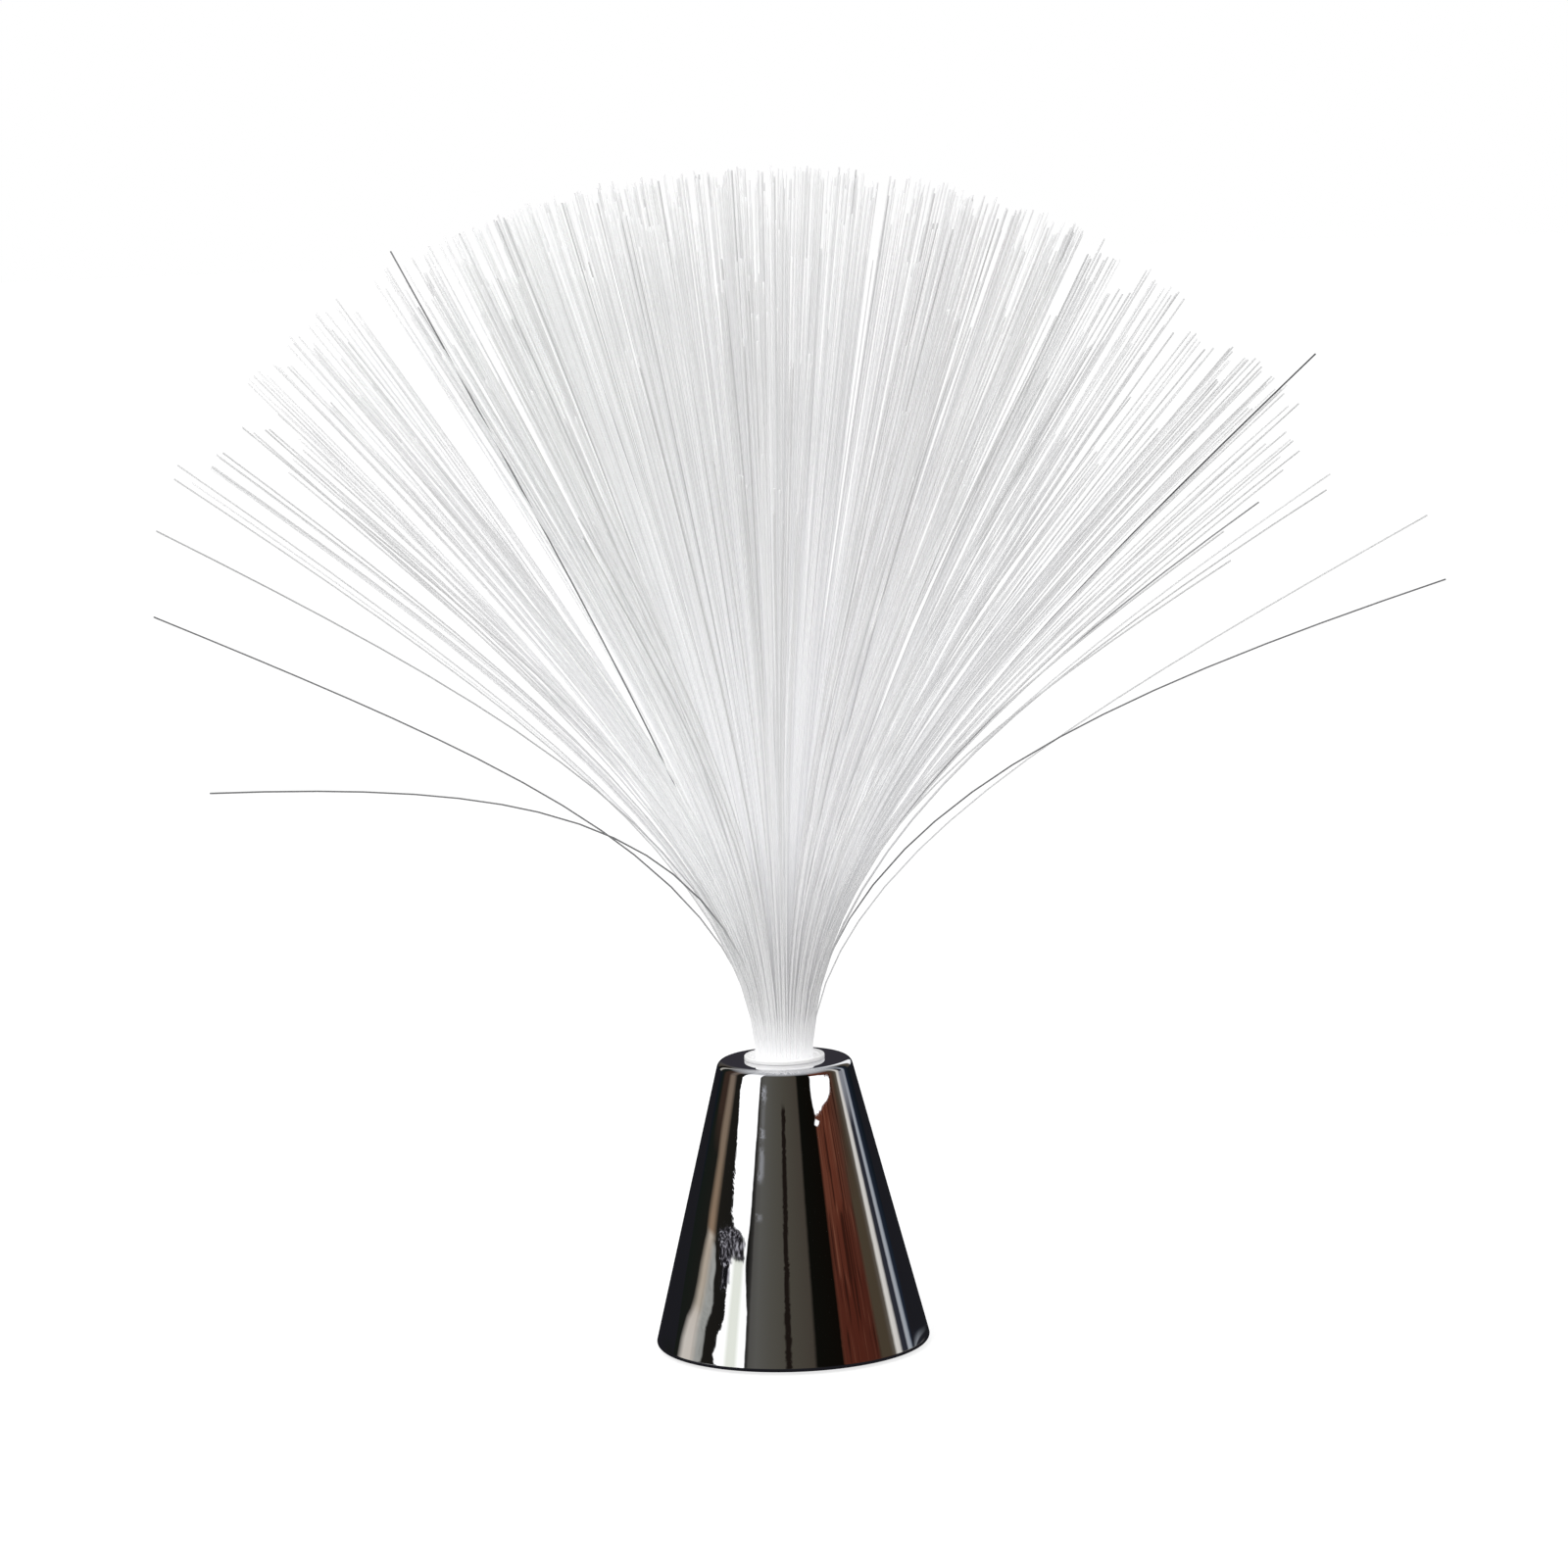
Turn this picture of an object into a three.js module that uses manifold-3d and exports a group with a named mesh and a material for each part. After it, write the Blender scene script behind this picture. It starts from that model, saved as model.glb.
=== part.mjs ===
// A battery lamp: a chromed truncated cone that holds three cells and three light-emitting diodes,
// and a spray of clear light-guiding fibres that fans out of a white socket in its top.
// Millimetres, +Z up. The origin is on the table, on the axis of the cone.
import * as THREE from "three";
import { mergeVertices } from "three/addons/utils/BufferGeometryUtils.js";
import Module from "manifold-3d";

const wasm = await Module();
wasm.setup();

// Fits and cuts
const seatGap = 0.3; // between pieces that rest on or stand beside each other
const runGap = 0.08; // between round faces that slide or turn on each other
const flangeGap = 0.1; // under the socket's flange, which shows
const overrun = 2; // how far a cutter runs past what it cuts

// Chromed cone, which widens downwards as far as the battery tray and the switch need
const trayRoom = 0.94; // from the tray, the switch or the bottom screws to the cone's wall
const topRadius = 18.1; // where the sloping side would meet the top plane
const baseHeight = 79.5; // top face above the table
const rimLift = 0.8; // rim above the table
const rimRound = 1;
const topRound = 2.5;
const shellWall = 2;
const roundSides = 48;
const bossSides = 12;
const screwSides = 9;
const hangerTurns = [0, 180]; // degrees, of the light tunnel's hangers
const postTurns = [90, 270]; // degrees, of its posts

// Spray and the white socket that it stands in
const bundleRadius = 8.05; // the potted root of the fibres
const rootLength = 19;
const sleeveWall = 0.7;
const ringProud = 0.2; // how far the grip ring stands out of the sleeve
const ringDepth = 0.25; // how far it sits in the sleeve
const ringHeight = 1.2;
const ringDrop = 5; // from the sleeve's mouth down to the ring
const socketWall = 0.7;
const flangeLip = 0.7; // how far the flange overhangs the hole
const flangeHeight = 1;
const flangeRound = 0.3;
const sleeveSink = 0.5; // sleeve's mouth below the flange's top
const socketTail = 3; // socket below the shoulder that the sleeve rests on
const fitSides = 26;

// Nut that draws the socket down
const nutHeight = 3.2;
const nutWall = 2.6;
const nutNotches = 6;
const nutNotchWidth = 2.2;
const nutNotchDepth = 1;

// Light tunnel below the socket
const tunnelWall = 1.5;
const tunnelOverlap = 5; // how far it climbs the socket
const earHeight = 2;
const earRound = 3;
const hangerRadius = 2.6; // bosses that hang from the cone's top
const hangerSpacing = 0.6; // from the nut to a hanger
const postRadius = 2.6;
const postSink = 0.8; // how far a post melts into the tunnel's wall

// Small screws, for the tunnel, the board and the bottom
const shankRadius = 0.9;
const pilotGap = 0.15;
const headRadius = 1.9;
const headHeight = 1.3;
const tunnelScrewLength = 7;
const boardScrewLength = 6;
const plateScrewLength = 9;
const plateHeadRadius = 2.6;
const plateHeadHeight = 1.5;
const driveWidth = 0.7; // arms of the cross recess
const driveShare = 0.65; // of the head's radius and height
const crownShare = 0.7; // of the head's radius, where its top is flat

// Circuit board and what stands on it
const boardThickness = 1.6;
const boardMargin = 0.8;
const ledRadius = 2.5;
const ledHeight = 8.1;
const ledFlange = 0.4;
const ledFlangeHeight = 1;
const ledPlaceRadius = 4.2;
const ledStandoff = 7; // dome to the bundle's polished end
const leadPitch = 2.54;
const leadWidth = 0.5;
const leadTail = 2.6;
const leadHole = 0.5;
const leadSides = 6;
const chipLength = 4.9;
const chipWidth = 3.9;
const chipHeight = 1.5;
const chipLegPitch = 1.27;
const chipLegWidth = 0.4;
const chipLegReach = 1.1;
const chipLegPlaces = [-1.5, -0.5, 0.5, 1.5]; // in pitches from the chip's middle
const resistorLength = 3.4;
const resistorRadius = 0.9;
const resistorSpan = 6; // between its two bent leads
const resistorPitch = 3;
const resistorCount = 3;
const resistorSides = 8;

// Bottom plate with the battery tray on it
const plateLift = 2.4; // underside above the table
const plateThickness = 3;
const trayWall = 1.2;
const trayRound = 4;
const doorThickness = 1.6;
const doorLedge = 1.5;
const doorTabWidth = 10;
const doorTabMargin = 2.9; // past the axis of the door's screw
const doorGroove = 1.2;
const bossRadius = 3;
const bossSpacing = 0.8; // from the tray's ends, or the door's tab, to the bosses of the bottom screws
const plateBossTop = 22; // top of the shell's bosses for the bottom screws
const footRadius = 4;
const footSink = 0.8;
const footRound = 0.3;
const footMargin = 1; // from a foot to the plate's edge
const footSpacing = 2.6; // from a foot to the door's long edge

// Captive screw of the battery door
const doorBossSpacing = 1.9; // from the tray to the boss that takes the screw
const doorShankRadius = 1.2;
const doorScrewLength = 9.5;
const doorHeadRadius = 3.2;
const doorHeadHeight = 1.2;
const doorHeadRound = 0.3;
const coinSlotWidth = 1;
const coinSlotDepth = 0.7;
const clipRadius = 2.3;
const clipHeight = 0.6;
const clipMouth = 1.6;
const clipWall = 0.4; // of the boss round the clip

// Three AAA cells and their contacts
const cellRadius = 5.25;
const cellLength = 44.5;
const nubLength = 0.8;
const nubRadius = 1.9;
const cellChamfer = 0.5;
const cellFacets = 16;
const cellSpacing = 0.4;
const contactThickness = 0.5;
const contactInset = 1.75; // of a contact's edges from the sides of its cell
const contactHeight = 8;
const tabReach = 2.2; // past the tray's wall
const tabWidth = 2.4;
const springLength = 5;
const springRadius = 2.9;
const springTip = 2.1;
const springWire = 0.5; // diameter
const springTurns = 3;
const springSteps = 8; // to a turn
const springSides = 5;

// Slide switch
const switchSpacing = 6.1; // from the tray
const switchLength = 12.4;
const switchWidth = 6.4;
const switchHeight = 5.6;
const switchTravel = 4;
const knobLength = 3.4;
const knobWidth = 2.6;
const knobDip = 1.4; // below the plate
const knobRise = 2.2; // into the switch
const knobGroove = 0.5;
const pinHeight = 2.4;
const pinWidth = 1;
const pinThickness = 0.5;
const pinPitch = 3.6;

// Insulated wires inside the cone
const wireRadius = 0.6;
const wireSides = 6;
const wireSteps = 16;
const wireKneeShare = 1.6; // of the pin pitch, where the red wire comes down

// Fibres
const fibreReach = 240; // a fibre's length above the mouth of the sleeve
const fibreRadius = 0.29;
const rootSpacing = 0.413; // side of the square of the potted root that each fibre takes, over the root of pi
const fibreBend = 58; // length over which a fibre leans out of the bundle
const lateBendShare = 0.2; // how much later fibres on the right lean out, and how much sooner on the left
const fibreJag = 3.5; // spread of the cut ends
const fibreLean = 62; // degrees, of an outermost fibre far from the base
const wideningShare = 0.1; // how much further the fibres on the right lean out in the end
const leftShortfall = 13; // how much shorter the outermost fibres on the left are
const rightShortfall = 26;
const outerPower = 1.5; // how sharply that shortening sets in with the lean
const fibreSpread = 23; // degrees, the lean of a typical fibre
const quarterGap = 0.3;
const splitMargin = 0.06; // from a fibre to the face between two quarters
const fibreSides = 3;
const quarterSteps = 6;
const bendSteps = 24; // in which a fibre's bend is added up
const strayRoom = 1.15; // least distance between the roots of a stray and of any other fibre
const bendShares = [0.14, 0.4];
const strayBendShares = [0.05, 0.12, 0.21, 0.34, 0.55, 0.76];

// Stray fibres that stand apart from the fan: azimuth and lean in degrees, bend and length as shares
// of fibreBend and fibreReach
const strayShares = [
  { azimuth: 231.4, lean: 86, bend: 1.172, length: 1.046 },
  { azimuth: 148, lean: 73.8, bend: 0.783, length: 1.018 },
  { azimuth: -29.1, lean: 73.1, bend: 1.153, length: 1.02 },
  { azimuth: 211.5, lean: 62.5, bend: 1.052, length: 1.016 },
  { azimuth: 12.9, lean: 50.3, bend: 0.997, length: 1.012 },
  { azimuth: 4, lean: 63.2, bend: 0.83, length: 0.964 },
  { azimuth: 98, lean: 60, bend: 0.966, length: 0.983 },
];

// Materials
function finish(color, roughness, metalness) {
  return new THREE.MeshStandardMaterial({ color, roughness, metalness });
}

const chrome = finish(0xc8cacc, 0.06, 1);
const opal = finish(0xf2f1ec, 0.4, 0);
const blackPlastic = finish(0x17181a, 0.5, 0);
const greyPlastic = finish(0x3b3d40, 0.55, 0);
const rubber = finish(0x1c1c1d, 0.85, 0);
const steel = finish(0x9a9c9f, 0.35, 1);
const nickel = finish(0xb9b6ae, 0.3, 1);
const boardGreen = finish(0x1d5b36, 0.45, 0);
const wrapper = finish(0x2f5d8a, 0.35, 0.2);
const fibreClear = finish(0xdcdcdb, 0.2, 0);
const resistorTan = finish(0xc9a878, 0.5, 0);
const redVinyl = finish(0xb02a25, 0.45, 0);
const blackVinyl = finish(0x1b1b1c, 0.45, 0);
const lenses = { led_red: 0xd8352c, led_green: 0x3fae52, led_blue: 0x3667c9 };

// Solids and meshes
const root = new THREE.Group();
const degrees = Math.PI / 180;
const weld = 1e-4; // corners nearer than this are one
const tiny = 1e-6;

// A closed geometry as a solid, its faces turned to point out
function solid(geometry) {
  const bare = geometry.index ? geometry.toNonIndexed() : geometry.clone();
  bare.deleteAttribute("normal");
  bare.deleteAttribute("uv");
  const merged = mergeVertices(bare, weld);
  const triVerts = new Uint32Array(merged.index.array);
  const mesh = { numProp: 3, vertProperties: merged.attributes.position.array, triVerts };
  const made = new wasm.Manifold(new wasm.Mesh(mesh));
  if (made.volume() > 0) return made;
  for (let i = 0; i < triVerts.length; i += 3) {
    [triVerts[i], triVerts[i + 1]] = [triVerts[i + 1], triVerts[i]];
  }
  return new wasm.Manifold(new wasm.Mesh(mesh));
}

function geometryOf(body) {
  const { vertProperties, triVerts, numProp, numVert } = body.asOriginal().getMesh();
  const places = new Float32Array(numVert * 3);
  for (let i = 0; i < numVert; i++) {
    const start = i * numProp;
    places.set(vertProperties.subarray(start, start + 3), i * 3);
  }
  const geometry = new THREE.BufferGeometry();
  geometry.setAttribute("position", new THREE.BufferAttribute(places, 3));
  geometry.setIndex(new THREE.BufferAttribute(new Uint32Array(triVerts), 1));
  geometry.computeVertexNormals();
  return geometry;
}

function add(name, body, material) {
  const mesh = new THREE.Mesh(body.isBufferGeometry ? body : geometryOf(body), material);
  mesh.name = name;
  root.add(mesh);
  return mesh;
}

const join = (...bodies) => bodies.reduce((whole, body) => whole.add(body));
const cut = (body, ...tools) => tools.reduce((rest, tool) => rest.subtract(tool), body);

// A solid of revolution about Z from a closed outline of [radius, height] points
function turned(outline, sides = fitSides) {
  const closed = [...outline, outline[0]].map(([r, z]) => new THREE.Vector2(r, z));
  return solid(new THREE.LatheGeometry(closed, sides).rotateX(Math.PI / 2));
}

// A solid of revolution whose outline starts and ends on the axis
function turnedFull(outline, sides = bossSides) {
  const points = outline.map(([r, z]) => new THREE.Vector2(r, z));
  return solid(new THREE.LatheGeometry(points, sides).rotateX(Math.PI / 2));
}

function cylinder(radius, low, high, x = 0, y = 0, sides = bossSides) {
  const geometry = new THREE.CylinderGeometry(radius, radius, high - low, sides);
  return solid(geometry.rotateX(Math.PI / 2).translate(x, y, (low + high) / 2));
}

function block([x0, x1], [y0, y1], [z0, z1]) {
  const geometry = new THREE.BoxGeometry(x1 - x0, y1 - y0, z1 - z0);
  return solid(geometry.translate((x0 + x1) / 2, (y0 + y1) / 2, (z0 + z1) / 2));
}

const centred = (width, place = 0) => [place - width / 2, place + width / 2];

// A block with round upright corners
function slab(width, depth, corner, low, high, x = 0, y = 0) {
  const shape = new THREE.Shape();
  const [left, right] = centred(width);
  const [front, back] = centred(depth);
  shape.moveTo(left + corner, front);
  shape.lineTo(right - corner, front);
  shape.absarc(right - corner, front + corner, corner, -Math.PI / 2, 0);
  shape.lineTo(right, back - corner);
  shape.absarc(right - corner, back - corner, corner, 0, Math.PI / 2);
  shape.lineTo(left + corner, back);
  shape.absarc(left + corner, back - corner, corner, Math.PI / 2, Math.PI);
  shape.lineTo(left, front + corner);
  shape.absarc(left + corner, front + corner, corner, Math.PI, 1.5 * Math.PI);
  const settings = { depth: high - low, bevelEnabled: false, curveSegments: 4 };
  const geometry = new THREE.ExtrudeGeometry(shape, settings);
  return solid(geometry.translate(x, y, low));
}

const around = (radius, turn) => [radius * Math.cos(turn * degrees), radius * Math.sin(turn * degrees)];

function arc(centreRadius, centreHeight, radius, from, to, steps) {
  return Array.from({ length: steps + 1 }, (_, i) => {
    const turn = from + ((to - from) * i) / steps;
    return [centreRadius + radius * Math.cos(turn), centreHeight + radius * Math.sin(turn)];
  });
}

// Heights from the socket down
const flangeTop = baseHeight + flangeGap + flangeHeight;
const sleeveTop = flangeTop - sleeveSink;
const sleeveBottom = sleeveTop - rootLength;
const shoulderTop = sleeveBottom - flangeGap;
const socketBottom = shoulderTop - socketTail;
const boardTop = sleeveBottom - ledStandoff - ledHeight - seatGap;
const boardBottom = boardTop - boardThickness;
const tunnelTop = socketBottom + tunnelOverlap;
const innerTop = baseHeight - shellWall;

// Radii from the bundle out
const sleeveInner = bundleRadius + seatGap;
const sleeveOuter = sleeveInner + sleeveWall;
const grooveRadius = sleeveOuter - ringDepth;
const ringOuter = sleeveOuter + ringProud;
const boreRadius = ringOuter + runGap;
const socketRadius = boreRadius + socketWall;
const holeRadius = socketRadius + seatGap;
const flangeRadius = holeRadius + flangeLip;
const nutInner = socketRadius + pilotGap;
const nutOuter = nutInner + nutWall;
const tunnelInner = socketRadius + seatGap;
const tunnelOuter = tunnelInner + tunnelWall;
const hangerPlace = nutOuter + hangerSpacing + hangerRadius;
const postPlace = tunnelOuter + postRadius - postSink;
const boardRadius = postPlace + postRadius + boardMargin;

// Heights on the bottom plate
const plateTop = plateLift + plateThickness;
const doorTop = plateLift + doorThickness;
const pocketTop = doorTop + seatGap;
const cellHeight = pocketTop + cellRadius;
const trayInnerTop = cellHeight + cellRadius + seatGap;
const trayTop = trayInnerTop + trayWall;
const plateBossFoot = plateTop + seatGap;

// Battery tray, its door and what lies along its sides
const cellPitch = 2 * cellRadius + cellSpacing;
const cellRows = [-cellPitch, 0, cellPitch];
const trayGaps = 5; // wall, contact, spring, cell, contact, wall
const trayInnerLength = cellLength + springLength + 2 * contactThickness + trayGaps * seatGap;
const trayInnerWidth = cellRows.length * cellPitch + seatGap;
const trayLength = trayInnerLength + 2 * trayWall;
const trayWidth = trayInnerWidth + 2 * trayWall;
const doorLength = trayInnerLength + 2 * doorLedge;
const doorWidth = trayInnerWidth + 2 * doorLedge;
const contactFace = trayInnerLength / 2 - seatGap - contactThickness;
const tabEnd = trayLength / 2 + tabReach;
const doorBossRadius = clipRadius + seatGap + clipWall;
const doorScrewPlace = trayWidth / 2 + doorBossSpacing + doorBossRadius;
const doorTabEdge = doorScrewPlace + doorTabMargin;
const switchPlace = trayWidth / 2 + switchSpacing + switchWidth / 2;

// Outline of the cone: its side clears the round corners of the tray, the corners of the switch and
// the heads of the bottom screws, each as [distance from the axis, height]
const plateScrewPlace = Math.max(trayLength / 2, doorTabEdge + seatGap) + bossSpacing + bossRadius;
const cleared = [
  [Math.hypot(trayLength / 2 - trayRound, trayWidth / 2 - trayRound) + trayRound, trayTop],
  [Math.hypot(switchLength / 2, switchPlace + switchWidth / 2), trayTop],
  [plateScrewPlace + plateHeadRadius + seatGap, plateLift + plateHeadHeight],
];
const slopes = cleared.map(([reach, z]) => (reach + trayRoom + shellWall - topRadius) / (baseHeight - z));
const sideSlope = Math.max(...slopes);
const sideTilt = Math.atan(sideSlope);
const sideRadius = (z) => topRadius + sideSlope * (baseHeight - z);
const insideRadius = (z) => sideRadius(z) - shellWall / Math.cos(sideTilt);
const baseRadius = sideRadius(rimLift + rimRound);

// Bottom screws and feet
const plateScrewTurns = [0, 180, 270];
const footY = doorWidth / 2 + footSpacing + footRadius;
const footX = Math.sqrt((insideRadius(plateLift) - seatGap - footMargin - footRadius) ** 2 - footY ** 2);
const footPlaces = [[footX, footY], [-footX, footY], [-footX, -footY], [footX, -footY]];

// The space inside the cone, less a gap all round
function insideSpace() {
  const low = rimLift - overrun;
  const high = innerTop - seatGap;
  const corners = [low, high].map((z) => [insideRadius(z) - seatGap, z]);
  return turnedFull([[0, low], ...corners, [0, high]], roundSides);
}

// One piece for each place, with numbers from 1 on
function addEach(name, places, build, material) {
  places.forEach(([x, y], i) => add(`${name}_${i + 1}`, build(x, y), material));
}

// A pan head screw pointing up from the height of its head's underside
function screw(x, y, seat, length, radius, height) {
  const crown = [[0, seat - height], [radius * crownShare, seat - height], [radius, seat - height / 2]];
  const tip = seat + length;
  const head = turnedFull([...crown, [radius, seat], [shankRadius, seat], [shankRadius, tip - shankRadius],
    [shankRadius / 2, tip], [0, tip]], screwSides);
  const arm = radius * driveShare;
  const depth = height * driveShare;
  const recess = [seat - height - overrun, seat - height + depth];
  const cross = join(block(centred(2 * arm), centred(driveWidth), recess),
    block(centred(driveWidth), centred(2 * arm), recess));
  return cut(head, cross).translate([x, y, 0]);
}

// Chromed shell, with bosses for the bottom screws and hangers for the light tunnel
function coneOutline() {
  const rimCentre = rimLift + rimRound;
  const rimRadius = sideRadius(rimCentre) - rimRound / Math.cos(sideTilt);
  const topCentre = baseHeight - topRound;
  const crownRadius = sideRadius(topCentre) - topRound / Math.cos(sideTilt);
  return [...arc(rimRadius, rimCentre, rimRound, -Math.PI / 2, sideTilt, 4),
    ...arc(crownRadius, topCentre, topRound, sideTilt, Math.PI / 2, 5)];
}

function baseShell() {
  const outline = coneOutline();
  const envelope = turnedFull([[0, rimLift], ...outline, [0, baseHeight]], roundSides);
  const wall = turned([...outline, [holeRadius, baseHeight], [holeRadius, innerTop],
    [insideRadius(innerTop), innerTop], [insideRadius(rimLift), rimLift]], roundSides);
  const bosses = plateScrewTurns.map((turn) => {
    const [x, y] = around(plateScrewPlace, turn);
    const web = block([plateScrewPlace, baseRadius], centred(trayWall), [plateBossFoot, plateBossTop]);
    return join(cylinder(bossRadius, plateBossFoot, plateBossTop, x, y), web.rotate([0, 0, turn]));
  });
  const hangers = hangerTurns.map((turn) => {
    const [x, y] = around(hangerPlace, turn);
    return cylinder(hangerRadius, tunnelTop + seatGap, innerTop + shellWall / 2, x, y);
  });
  const whole = join(wall, ...[...bosses, ...hangers].map((boss) => boss.intersect(envelope)));
  const pilots = [
    ...plateScrewTurns.map((turn) => cylinder(shankRadius + pilotGap, plateBossFoot - overrun,
      plateLift + plateHeadHeight + plateScrewLength + seatGap, ...around(plateScrewPlace, turn))),
    ...hangerTurns.map((turn) => cylinder(shankRadius + pilotGap, tunnelTop - overrun,
      tunnelTop - earHeight + tunnelScrewLength + seatGap, ...around(hangerPlace, turn))),
  ];
  return cut(whole, ...pilots);
}

// White socket: a flange on the cone's top, a bore for the sleeve and a shoulder that stops it
function socket() {
  const flangeFoot = baseHeight + flangeGap;
  return turned([[socketRadius, socketBottom], [socketRadius, flangeFoot], [flangeRadius, flangeFoot],
    ...arc(flangeRadius - flangeRound, flangeTop - flangeRound, flangeRound, 0, Math.PI / 2, 3),
    [boreRadius, flangeTop], [boreRadius, shoulderTop],
    [sleeveInner, shoulderTop], [sleeveInner, socketBottom]]);
}

function socketNut() {
  const high = innerTop - seatGap;
  const ring = turned([[nutInner, high - nutHeight], [nutOuter, high - nutHeight], [nutOuter, high],
    [nutInner, high]]);
  const notches = Array.from({ length: nutNotches }, (_, i) =>
    block([nutOuter - nutNotchDepth, nutOuter + overrun], centred(nutNotchWidth),
      [high - nutHeight - overrun, high - nutHeight / 2]).rotate([0, 0, (360 * (i + 0.5)) / nutNotches]));
  return cut(ring, ...notches);
}

// Light tunnel: a tube on the socket's tail with two ears and two posts
function lightTunnel() {
  const tube = cylinder(tunnelOuter, boardTop + seatGap, tunnelTop, 0, 0, fitSides);
  const ears = join(...hangerTurns.map((turn) => {
    const [x, y] = around(hangerPlace, turn);
    const arm = block([0, hangerPlace], centred(2 * earRound), [tunnelTop - earHeight, tunnelTop]);
    return join(arm.rotate([0, 0, turn]), cylinder(earRound, tunnelTop - earHeight, tunnelTop, x, y));
  })).intersect(insideSpace());
  const posts = postTurns.map((turn) =>
    cylinder(postRadius, boardTop + seatGap, tunnelTop - earHeight, ...around(postPlace, turn)));
  const bore = cylinder(tunnelInner, boardTop - overrun, tunnelTop + overrun, 0, 0, fitSides);
  const holes = [
    ...hangerTurns.map((turn) => cylinder(shankRadius + seatGap, tunnelTop - earHeight - overrun,
      tunnelTop + overrun, ...around(hangerPlace, turn))),
    ...postTurns.map((turn) => cylinder(shankRadius + pilotGap, boardTop - overrun,
      boardBottom + boardScrewLength + seatGap, ...around(postPlace, turn))),
  ];
  return cut(join(tube, ears, ...posts), bore, ...holes);
}

// Circuit board, its three diodes, the controller and the resistors
const ledTurns = [90, 210, 330];
const leadEdge = ledPlaceRadius + leadPitch / 2 + leadHole;
const chipPlace = leadEdge + seatGap + chipLegReach + chipWidth / 2;
const resistorPlaces = Array.from({ length: resistorCount }, (_, i) =>
  -leadEdge - seatGap - resistorRadius - i * resistorPitch);

function circuitBoard() {
  const disc = cylinder(boardRadius, boardBottom, boardTop, 0, 0, fitSides);
  const through = [boardBottom - overrun, boardTop + overrun];
  const leads = ledTurns.flatMap((turn) => {
    const [x, y] = around(ledPlaceRadius, turn);
    return [-1, 1].map((side) => cylinder(leadHole, ...through, x + (side * leadPitch) / 2, y, leadSides));
  });
  const screws = postTurns.map((turn) =>
    cylinder(shankRadius + seatGap, ...through, ...around(postPlace, turn)));
  const resistorHoles = resistorPlaces.flatMap((place) =>
    [-1, 1].map((side) => cylinder(leadHole, ...through, place, (side * resistorSpan) / 2, leadSides)));
  return cut(disc, ...leads, ...screws, ...resistorHoles);
}

function diode(turn) {
  const [x, y] = around(ledPlaceRadius, turn);
  const foot = boardTop + seatGap;
  const skirt = [ledRadius + ledFlange, foot + ledFlangeHeight];
  const dome = arc(0, foot + ledHeight - ledRadius, ledRadius, 0, Math.PI / 2, 4).slice(0, -1);
  const side = [[skirt[0], foot], skirt, [ledRadius, skirt[1]]];
  const body = turnedFull([[0, foot], ...side, ...dome, [0, foot + ledHeight]]);
  const leads = [-1, 1].map((toward) => block(centred(leadWidth, (toward * leadPitch) / 2),
    centred(leadWidth), [boardTop - leadTail, foot + ledFlangeHeight / 2]));
  return join(body, ...leads).translate([x, y, 0]);
}

function controller() {
  const top = boardBottom - seatGap;
  const x = chipPlace;
  const body = block(centred(chipWidth, x), centred(chipLength), [top - chipHeight, top - chipLegWidth / 2]);
  const legs = chipLegPlaces.flatMap((step) => [-1, 1].map((side) => {
    const y = centred(chipLegWidth, step * chipLegPitch);
    const edge = x + (side * chipWidth) / 2;
    const tip = edge + side * chipLegReach;
    const span = [Math.min(edge - side * chipLegWidth, tip), Math.max(edge - side * chipLegWidth, tip)];
    const knee = [Math.min(tip, tip - side * chipLegWidth), Math.max(tip, tip - side * chipLegWidth)];
    const middle = top - chipHeight / 2;
    return join(block(span, y, centred(chipLegWidth, middle)),
      block(knee, y, [middle - chipLegWidth / 2, top]));
  }));
  return join(body, ...legs);
}

// A resistor lies along Y under the board, with its leads bent up through it
function resistor(place) {
  const height = boardBottom - seatGap - resistorRadius;
  const body = new THREE.CylinderGeometry(resistorRadius, resistorRadius, resistorLength, resistorSides);
  const across = centred(leadWidth, place);
  const legs = [-1, 1].map((side) => {
    const [inner, outer] = [resistorLength / 2 - leadWidth, (resistorSpan + leadWidth) / 2];
    const reach = side > 0 ? [inner, outer] : [-outer, -inner];
    const rise = [height, boardBottom + boardThickness / 2];
    return join(block(across, reach, centred(leadWidth, height)),
      block(across, centred(leadWidth, (side * resistorSpan) / 2), rise));
  });
  return join(solid(body.translate(place, 0, height)), ...legs);
}

// Bottom plate: a disc with the battery tray, the switch window and the screw seats
function bottomPlate() {
  const inside = insideSpace();
  const disc = cylinder(baseRadius, plateLift, plateTop, 0, 0, roundSides);
  const tray = slab(trayLength, trayWidth, trayRound, plateTop - trayWall, trayTop);
  const low = plateTop - trayWall;
  const boss = cylinder(doorBossRadius, low, plateLift + doorScrewLength + trayWall, 0, -doorScrewPlace);
  const ribPlace = switchLength / 2 + seatGap + trayWall / 2;
  const ribs = [-1, 1].map((side) => block(centred(trayWall, side * ribPlace),
    centred(switchWidth, switchPlace), [low, plateTop + switchHeight / 2]));
  const solidPlate = join(disc, tray, boss, ...ribs).intersect(inside);
  return cut(solidPlate, ...plateCuts());
}

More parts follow.
